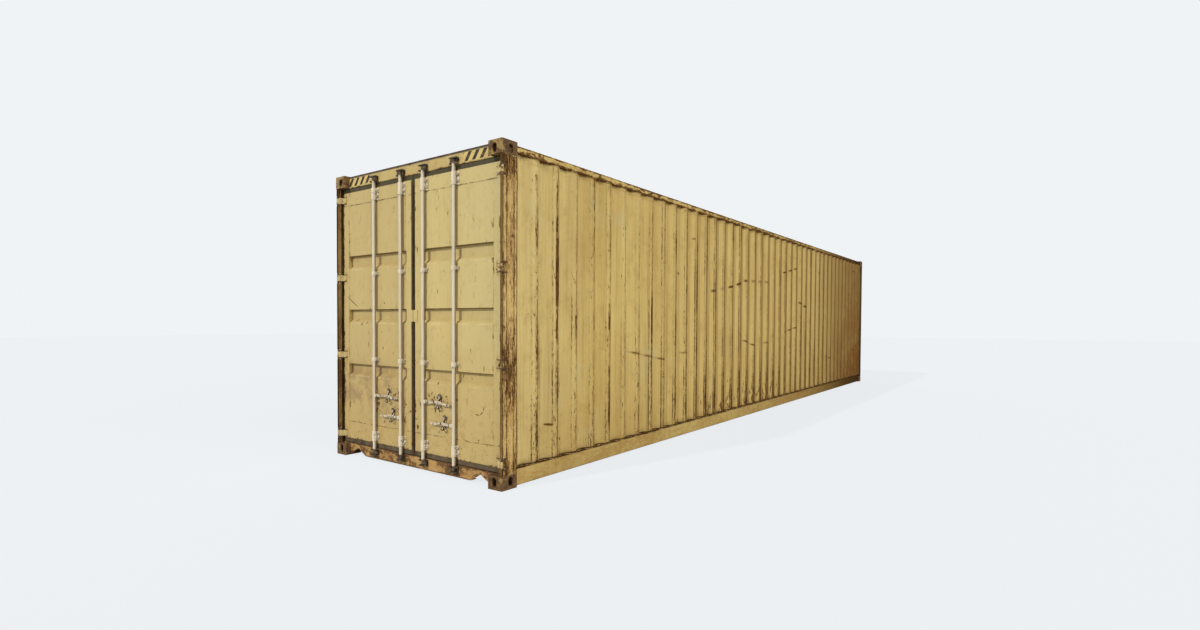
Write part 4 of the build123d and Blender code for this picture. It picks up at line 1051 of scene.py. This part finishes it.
def add_weld(builder, points, radius, chance, step=0.014):
    """Weld bead along a line of points, as overlapping ripples of slightly uneven width."""
    rings = []
    for start, end in zip(points, points[1:]):
        start = Vector(start)
        run = Vector(end) - start
        axis = run.normalized()
        count = max(2, round(run.length / step))
        for index in range(count if end is not points[-1] else count + 1):
            swell = chance.uniform(0.86, 1.1) * (1.14 if len(rings) % 2 else 0.86)
            drift = axis.orthogonal().normalized() * chance.uniform(-0.12, 0.12) * radius
            rings.append(ring_about(start + run * index / count + drift, axis, radius * swell, 6))
    add_rings(builder, rings)


def add_bar(builder, points, radii, side):
    """Round bar through a row of points, with its own radius at each."""
    rings = []
    for index, (point, radius) in enumerate(zip(points, radii)):
        axis = points[min(index + 1, len(points) - 1)] - points[max(index - 1, 0)]
        rings.append(ring_about(point, axis.normalized(), radius, 10, side=side))
    add_rings(builder, rings)


def add_plate(builder, low, high):
    """Flat strip with cut corners between two corner points."""
    middle = (Vector(low) + Vector(high)) / 2
    half = Vector([abs(part) for part in Vector(high) - Vector(low)]) / 2
    cut = min(half.y, half.z) * 0.5
    outline = []
    for sign_y, sign_z in ((1, 1), (-1, 1), (-1, -1), (1, -1)):
        upper, lower = (half.y - cut, half.z), (half.y, half.z - cut)
        corner = [(sign_y * y, sign_z * z) for y, z in (lower, upper)]
        outline += corner if sign_y == sign_z else corner[::-1]
    rings = []
    for reach, share in ((-1, 1.0), (0.6, 1.0), (1.0, 0.97)):
        rings.append([middle + Vector((half.x * reach, y * share, z * share)) for y, z in outline])
    add_rings(builder, rings)


# Operators


class CONTAINER_OT_fixed_shell(Operator):
    """Finish of the castings, posts, rails, walls and roof"""

    bl_idname = "container.fixed_shell"
    bl_label = "Fixed shell"

    def execute(self, context):
        paint_nodes(casting_finish(), "corner_castings_*")
        paint_nodes(post_finish(), "door_post_*", "front_post_*")
        paint_nodes(rail_finish("top_rail_paint", True), "top_side_rail_*", "front_top_rail")
        bottom_paint = rail_finish("bottom_rail_paint", False)
        paint_nodes(bottom_paint, "bottom_side_rail_*", "front_bottom_sill")
        paint_nodes(side_wall_finish(), "side_wall_*")
        paint_nodes(end_wall_finish(), "front_end_wall")
        paint_nodes(roof_finish(), "roof_*")
        return {"FINISHED"}


class CONTAINER_OT_underside(Operator):
    """Finish of the cross members, the gooseneck tunnel and the floor"""

    bl_idname = "container.underside"
    bl_label = "Underside and floor"

    def execute(self, context):
        paint_nodes(underframe_finish(), "cross_members", "gooseneck_tunnel")
        paint_nodes(floor_finish(), "floor_boards")
        return {"FINISHED"}


class CONTAINER_OT_door_end(Operator):
    """Finish of the header, the sill, the hinges and the keepers"""

    bl_idname = "container.door_end"
    bl_label = "Door end"

    def execute(self, context):
        paint_nodes(header_finish(), "door_header")
        paint_nodes(sill_finish(), "door_sill")
        paint_nodes(hinge_finish(), "hinge_lugs", "*_hinge_blades")
        paint_nodes(keeper_finish(), "hinge_pins", "cam_keepers")
        return {"FINISHED"}


class CONTAINER_OT_doors(Operator):
    """Finish of the two doors and their gaskets"""

    bl_idname = "container.doors"
    bl_label = "Doors"

    def execute(self, context):
        paint_nodes(door_finish("door_frame_paint", False), "*_door_frame")
        paint_nodes(door_finish("door_panel_paint", True), "*_door_panel")
        paint_nodes(gasket_finish(), "*_door_gasket")
        return {"FINISHED"}


class CONTAINER_OT_lock_gear(Operator):
    """Finish of the rods, brackets, catches and handles"""

    bl_idname = "container.lock_gear"
    bl_label = "Lock gear"

    def execute(self, context):
        paint_nodes(gear_finish("bracket_paint", "bracket"), "*_rod_brackets")
        paint_nodes(gear_finish("handle_paint", "forged"), "*_handle", "*_handle_catches")
        paint_nodes(gear_finish("lock_rod_paint", "rod"), "*_lock_rod")
        return {"FINISHED"}


class CONTAINER_OT_shell_welds(Operator):
    """Weld beads along the seams of the castings, posts, rails and walls"""

    bl_idname = "container.shell_welds"
    bl_label = "Shell welds"

    def execute(self, context):
        chance = random.Random(sizes().seed)
        radius = sizes().weld_radius
        weld = weld_finish()
        for side, name in ((1, "left"), (-1, "right")):
            builder = bmesh.new()
            for line, step in self.wall_seams(side):
                add_weld(builder, line, radius, chance, step)
            piece_from(builder, f"wall_seams_{name}", "container_body", weld)

            builder = bmesh.new()
            seam_y = side * (half_width - 0.0052)
            for height in (casting_height + 0.001, top_plane - casting_height - 0.001):
                for end in (-1, 1):
                    insets = (0.008, casting_length - 0.006)
                    line = [(end * (front_plane - inset), seam_y, height) for inset in insets]
                    add_weld(builder, line, radius, chance)
            piece_from(builder, f"casting_seams_{name}", "container_body", weld)

        builder = bmesh.new()
        for line in self.roof_seams():
            add_weld(builder, line, radius, chance, 0.03)
        piece_from(builder, "roof_seams", "container_body", weld)
        return {"FINISHED"}

    def wall_seams(self, side):
        """Lines along a wall's foot and head and up its two ends, with the length of a ripple."""
        proud = half_width - 0.0075
        sunk = half_width - 0.0435
        ends = (door_plane + casting_length, front_plane - casting_length)
        fold = ((0.0, proud), (wave_in, sunk), (wave_back, sunk), (wave_out, proud))
        outline = [(ends[0], proud)]
        for wave in range(wave_count):
            for past_crease, spot_y in fold:
                spot_x = wave_first + wave * wave_pitch + past_crease
                if ends[0] + 0.001 < spot_x < ends[1] - 0.001:
                    outline.append((spot_x, spot_y))
        outline.append((ends[1], proud))
        for height in (0.1585, 2.8065):
            yield [(x, side * y, height) for x, y in outline], 0.02
        for seam_x in ends:
            yield [(seam_x, side * proud, height) for height in (0.16, 2.806)], 0.014

    def roof_seams(self):
        """Lines between the eleven roof sheets and along both sides of them."""
        rib_pitch = 0.209
        reach = half_width - 0.03
        for sheet in range(1, 11):
            seam_x = (sheet * 5 - 27.5) * rib_pitch
            yield [(seam_x, y, 2.8705) for y in (-reach, reach)]
        reach = front_plane - 0.34
        for side in (-1, 1):
            yield [(x, side * (half_width - 0.0125), 2.8695) for x in (-reach, reach)]


class CONTAINER_OT_gear_welds(Operator):
    """Weld beads round the keepers on the header and the sill"""

    bl_idname = "container.gear_welds"
    bl_label = "Keeper welds"

    def execute(self, context):
        chance = random.Random(sizes().seed + 2)
        builder = bmesh.new()
        low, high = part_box("cam_keepers")
        face = door_plane + 0.0535
        tall = 0.048
        for name in ("left_outer", "left_inner", "right_inner", "right_outer"):
            for foot in (low[2], high[2] - tall):
                for side in (-1, 1):
                    edge = rod_lines[name] + side * 0.0455
                    line = [(face, edge, foot), (face, edge, foot + tall)]
                    add_weld(builder, line, 0.0028, chance, 0.008)
        piece_from(builder, "keeper_welds", "container_body", weld_finish())
        return {"FINISHED"}


class CONTAINER_OT_handle_hooks(Operator):
    """Forged hooks of the handle catches, curled over and under each handle"""

    bl_idname = "container.handle_hooks"
    bl_label = "Handle hooks"

    def execute(self, context):
        for name, first, last in (("left", "outer", "inner"), ("right", "inner", "outer")):
            builder = bmesh.new()
            upper = (rod_lines[f"{name}_{first}"] - 0.214, 0.666)
            lower = (rod_lines[f"{name}_{last}"] + 0.144, 0.481)
            for spot_y, arm_z in (upper, lower):
                self.add_hook(builder, spot_y, arm_z + 0.05, 0.0435, 12, 262, True)
                self.add_hook(builder, spot_y, arm_z - 0.04, 0.018, 84, 338, False)
                for rise in (0.034, -0.026):
                    foot = (door_plane + 0.048, spot_y - 0.011, arm_z + rise)
                    add_rivet(builder, foot, (-1, 0, 0), 0.0045, 0.003)
            body = f"{name}_door"
            hooks = piece_from(builder, f"{name}_handle_hooks", body, keeper_finish())
            soften(hooks, 0.0008, 50)
        return {"FINISHED"}

    def add_hook(self, builder, middle_y, middle_z, depth, first, last, tail):
        """Curl of tapered bar that bulges to the right, with a tail down to the handle."""
        radius = 0.0185
        points = []
        radii = []
        count = 18
        for index in range(count + 1):
            share = index / count
            turn = math.radians(first + (last - first) * share)
            swell = 1.0 + 0.25 * math.sin(share * math.pi)
            spot_y = middle_y + math.cos(turn) * radius * swell
            spot_z = middle_z + math.sin(turn) * radius * (1.12 if tail else 1.0)
            points.append(Vector((door_plane + depth, spot_y, spot_z)))
            radii.append(0.0028 + 0.0026 * math.sin(min(share * 1.5, 1.0) * math.pi / 2))
        if tail:
            for drop in (0.006, 0.012, 0.018):
                points.append(points[-1] + Vector((0, drop * 0.25, -drop * 0.6)))
                radii.append(0.005)
        else:
            radii = radii[::-1]
        add_bar(builder, points, radii, Vector((1, 0, 0)))


class CONTAINER_OT_bracket_bolts(Operator):
    """Bolts of the rod brackets"""

    bl_idname = "container.bracket_bolts"
    bl_label = "Bracket bolts"

    def execute(self, context):
        chance = random.Random(sizes().seed + 1)
        flange = door_plane + 0.048
        for name in ("left", "right"):
            builder = bmesh.new()
            for place in ("outer", "inner"):
                spot_y = rod_lines[f"{name}_{place}"] - 0.036
                for height in (0.228, 0.277, 1.02, 1.87, 2.63, 2.686):
                    spot = (flange, spot_y, height)
                    add_bolt(builder, spot, (-1, 0, 0), sizes().bolt_radius, chance.uniform(0, 1))
            body = f"{name}_door"
            piece_from(builder, f"{name}_bracket_bolts", body, bolt_finish(), False)
        return {"FINISHED"}


class CONTAINER_OT_gasket_strips(Operator):
    """Riveted metal strips that hold the gasket on the inside of each door"""

    bl_idname = "container.gasket_strips"
    bl_label = "Gasket strips"

    def execute(self, context):
        back = door_plane + 0.104
        wide = 0.024
        spacing = 0.15
        for side, name in ((1, "left"), (-1, "right")):
            low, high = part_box(f"{name}_door_frame")
            reaches = sorted((abs(low[1]), abs(high[1])))
            near_y, far_y = reaches[0] + 0.022, reaches[1] - 0.002
            foot, head = low[2] + 0.002, high[2] - 0.002
            inner_y, outer_y = near_y + wide + 0.001, far_y - wide - 0.001
            runs = (
                ((near_y, foot), (near_y + wide, head)),
                ((far_y - wide, foot), (far_y, head)),
                ((inner_y, foot), (outer_y, foot + wide)),
                ((inner_y, head - wide), (outer_y, head)),
            )
            builder = bmesh.new()
            for (first_y, first_z), (last_y, last_z) in runs:
                corners = (back, side * first_y, first_z), (back + 0.002, side * last_y, last_z)
                add_plate(builder, *corners)
                tall = last_z - first_z > last_y - first_y
                length = (last_z - first_z) if tall else (last_y - first_y)
                count = int(length / spacing)
                for index in range(count):
                    reach = (index + 0.5) / count * length
                    spot_y = (first_y + last_y) / 2 if tall else first_y + reach
                    spot_z = first_z + reach if tall else (first_z + last_z) / 2
                    spot = (back + 0.0018, side * spot_y, spot_z)
                    add_rivet(builder, spot, (1, 0, 0), 0.005, 0.0022)
            body = f"{name}_door"
            piece_from(builder, f"{name}_gasket_strips", body, bolt_finish(), False)
        return {"FINISHED"}


class CONTAINER_OT_floor_screws(Operator):
    """Screws that hold the floor boards down on the cross members"""

    bl_idname = "container.floor_screws"
    bl_label = "Floor screws"

    def execute(self, context):
        builder = bmesh.new()
        boards_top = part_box("floor_boards")[1][2]
        head = ((0.0, 0.0075), (0.0009, 0.0069), (0.0009, 0.00225), (0.0002, 0.00165))
        member_count, member_pitch = 39, 0.3
        for member in range(member_count):
            member_x = door_plane + 0.26 + member * member_pitch
            for spot_y in (-0.04, 0.04, -0.42, 0.42, -0.8, 0.8, -1.14, 1.14):
                add_turned(builder, (member_x, spot_y, boards_top), (0, 0, 1), head, 8)
        piece_from(builder, "floor_screws", "container_body", bolt_finish(), False)
        return {"FINISHED"}


class CONTAINER_OT_studio(Operator):
    """Pale floor, soft lamps, backdrop and the camera"""

    bl_idname = "container.studio"
    bl_label = "Studio and camera"

    def execute(self, context):
        scene = context.scene
        scene.view_settings.view_transform = "Standard"
        scene.world = bpy.data.worlds.new("studio_sky")
        sky = Nodes(scene.world)
        soft = sky.node("Background", None, {"Color": (0.95, 0.97, 1.0, 1.0), "Strength": 0.13})
        shown = sky.backdrop_over(soft, "Background", 1.0)
        sky.node("OutputWorld", None, {"Surface": shown}, None)

        self.add_floor(scene)
        self.add_lamp(scene, "key_sun", (-0.98, 0.26, 0.73), 2.08, 1.2, (1.0, 0.98, 0.94))
        self.add_lamp(scene, "side_fill", (-0.12, -1.0, 0.55), 1.98, 45.0, (1.0, 0.99, 0.96))
        self.add_lamp(scene, "back_fill", (0.75, 0.75, 0.45), 0.9, 60.0, (0.97, 0.98, 1.0))
        self.add_camera(scene)
        return {"FINISHED"}

    def add_floor(self, scene):
        """Floor that reads as the plain backdrop and keeps the container's soft shadow."""
        reach = 60.0
        corners = [(-reach, -reach, 0), (reach, -reach, 0), (reach, reach, 0), (-reach, reach, 0)]
        mesh = bpy.data.meshes.new("studio_floor")
        mesh.from_pydata(corners, [], [(0, 1, 2, 3)])
        floor = bpy.data.objects.new("studio_floor", mesh)
        scene.collection.objects.link(floor)
        material = bpy.data.materials.new("studio_floor")
        mesh.materials.append(material)
        ground = Nodes(material)
        matt = ground.node("BsdfDiffuse", None, {"Color": (0.8, 0.81, 0.82, 1.0)})
        shown = ground.backdrop_over(matt, "Emission", 0.88)
        ground.node("OutputMaterial", None, {"Surface": shown}, None)

    def add_lamp(self, scene, name, toward, energy, spread, tint):
        """Sun lamp that shines from a direction, softer the wider its spread in degrees."""
        lamp = bpy.data.lights.new(name, "SUN")
        lamp.energy = energy
        lamp.angle = math.radians(spread)
        lamp.color = tint
        holder = bpy.data.objects.new(name, lamp)
        holder.rotation_euler = Vector(toward).to_track_quat("Z", "Y").to_euler()
        scene.collection.objects.link(holder)

    def add_camera(self, scene):
        """Camera at the photographed viewpoint, with the small shift of its crop."""
        photo_width, photo_height = 1200, 630
        focal_pixels = 609.254
        centre_x, centre_y = 597.15, 336.78
        right = Vector((0.59057, -0.80697, 0.00506))
        up = Vector((0.01630, 0.01821, 0.99970))
        ahead = Vector((0.80682, 0.59031, -0.02391))
        data = bpy.data.cameras.new("photo_camera")
        data.sensor_width = 36.0
        data.lens = focal_pixels / photo_width * data.sensor_width
        data.shift_x = (photo_width / 2 - centre_x) / photo_width
        data.shift_y = (centre_y - photo_height / 2) / photo_width
        data.clip_start = 0.1
        data.clip_end = 500.0
        camera = bpy.data.objects.new("photo_camera", data)
        camera.rotation_mode = "QUATERNION"
        camera.rotation_quaternion = Matrix((right, up, -ahead)).transposed().to_quaternion()
        camera.location = (-9.65298, -4.78503, 1.39952)
        scene.collection.objects.link(camera)
        scene.camera = camera


operators = (
    CONTAINER_OT_fixed_shell,
    CONTAINER_OT_underside,
    CONTAINER_OT_door_end,
    CONTAINER_OT_doors,
    CONTAINER_OT_lock_gear,
    CONTAINER_OT_shell_welds,
    CONTAINER_OT_gear_welds,
    CONTAINER_OT_handle_hooks,
    CONTAINER_OT_bracket_bolts,
    CONTAINER_OT_gasket_strips,
    CONTAINER_OT_floor_screws,
    CONTAINER_OT_studio,
)


class CONTAINER_PT_sidebar(Panel):
    """Lists the steps that dress the container"""

    bl_label = "Container"
    bl_idname = "CONTAINER_PT_sidebar"
    bl_space_type = "VIEW_3D"
    bl_region_type = "UI"
    bl_category = "Container"

    def draw(self, context):
        layout = self.layout
        for operator in operators:
            layout.operator(operator.bl_idname)
        for group in (context.scene.container_colours, context.scene.container_sizes):
            for name in group.__annotations__:
                layout.prop(group, name)


def register():
    for group in (ContainerColours, ContainerSizes, *operators, CONTAINER_PT_sidebar):
        bpy.utils.register_class(group)
    bpy.types.Scene.container_colours = PointerProperty(type=ContainerColours)
    bpy.types.Scene.container_sizes = PointerProperty(type=ContainerSizes)


def unregister():
    del bpy.types.Scene.container_sizes
    del bpy.types.Scene.container_colours
    for group in (CONTAINER_PT_sidebar, *reversed(operators), ContainerSizes, ContainerColours):
        bpy.utils.unregister_class(group)


def main():
    register()
    for operator in operators:
        family, name = operator.bl_idname.split(".")
        getattr(getattr(bpy.ops, family), name)()


if __name__ == "__main__":
    main()
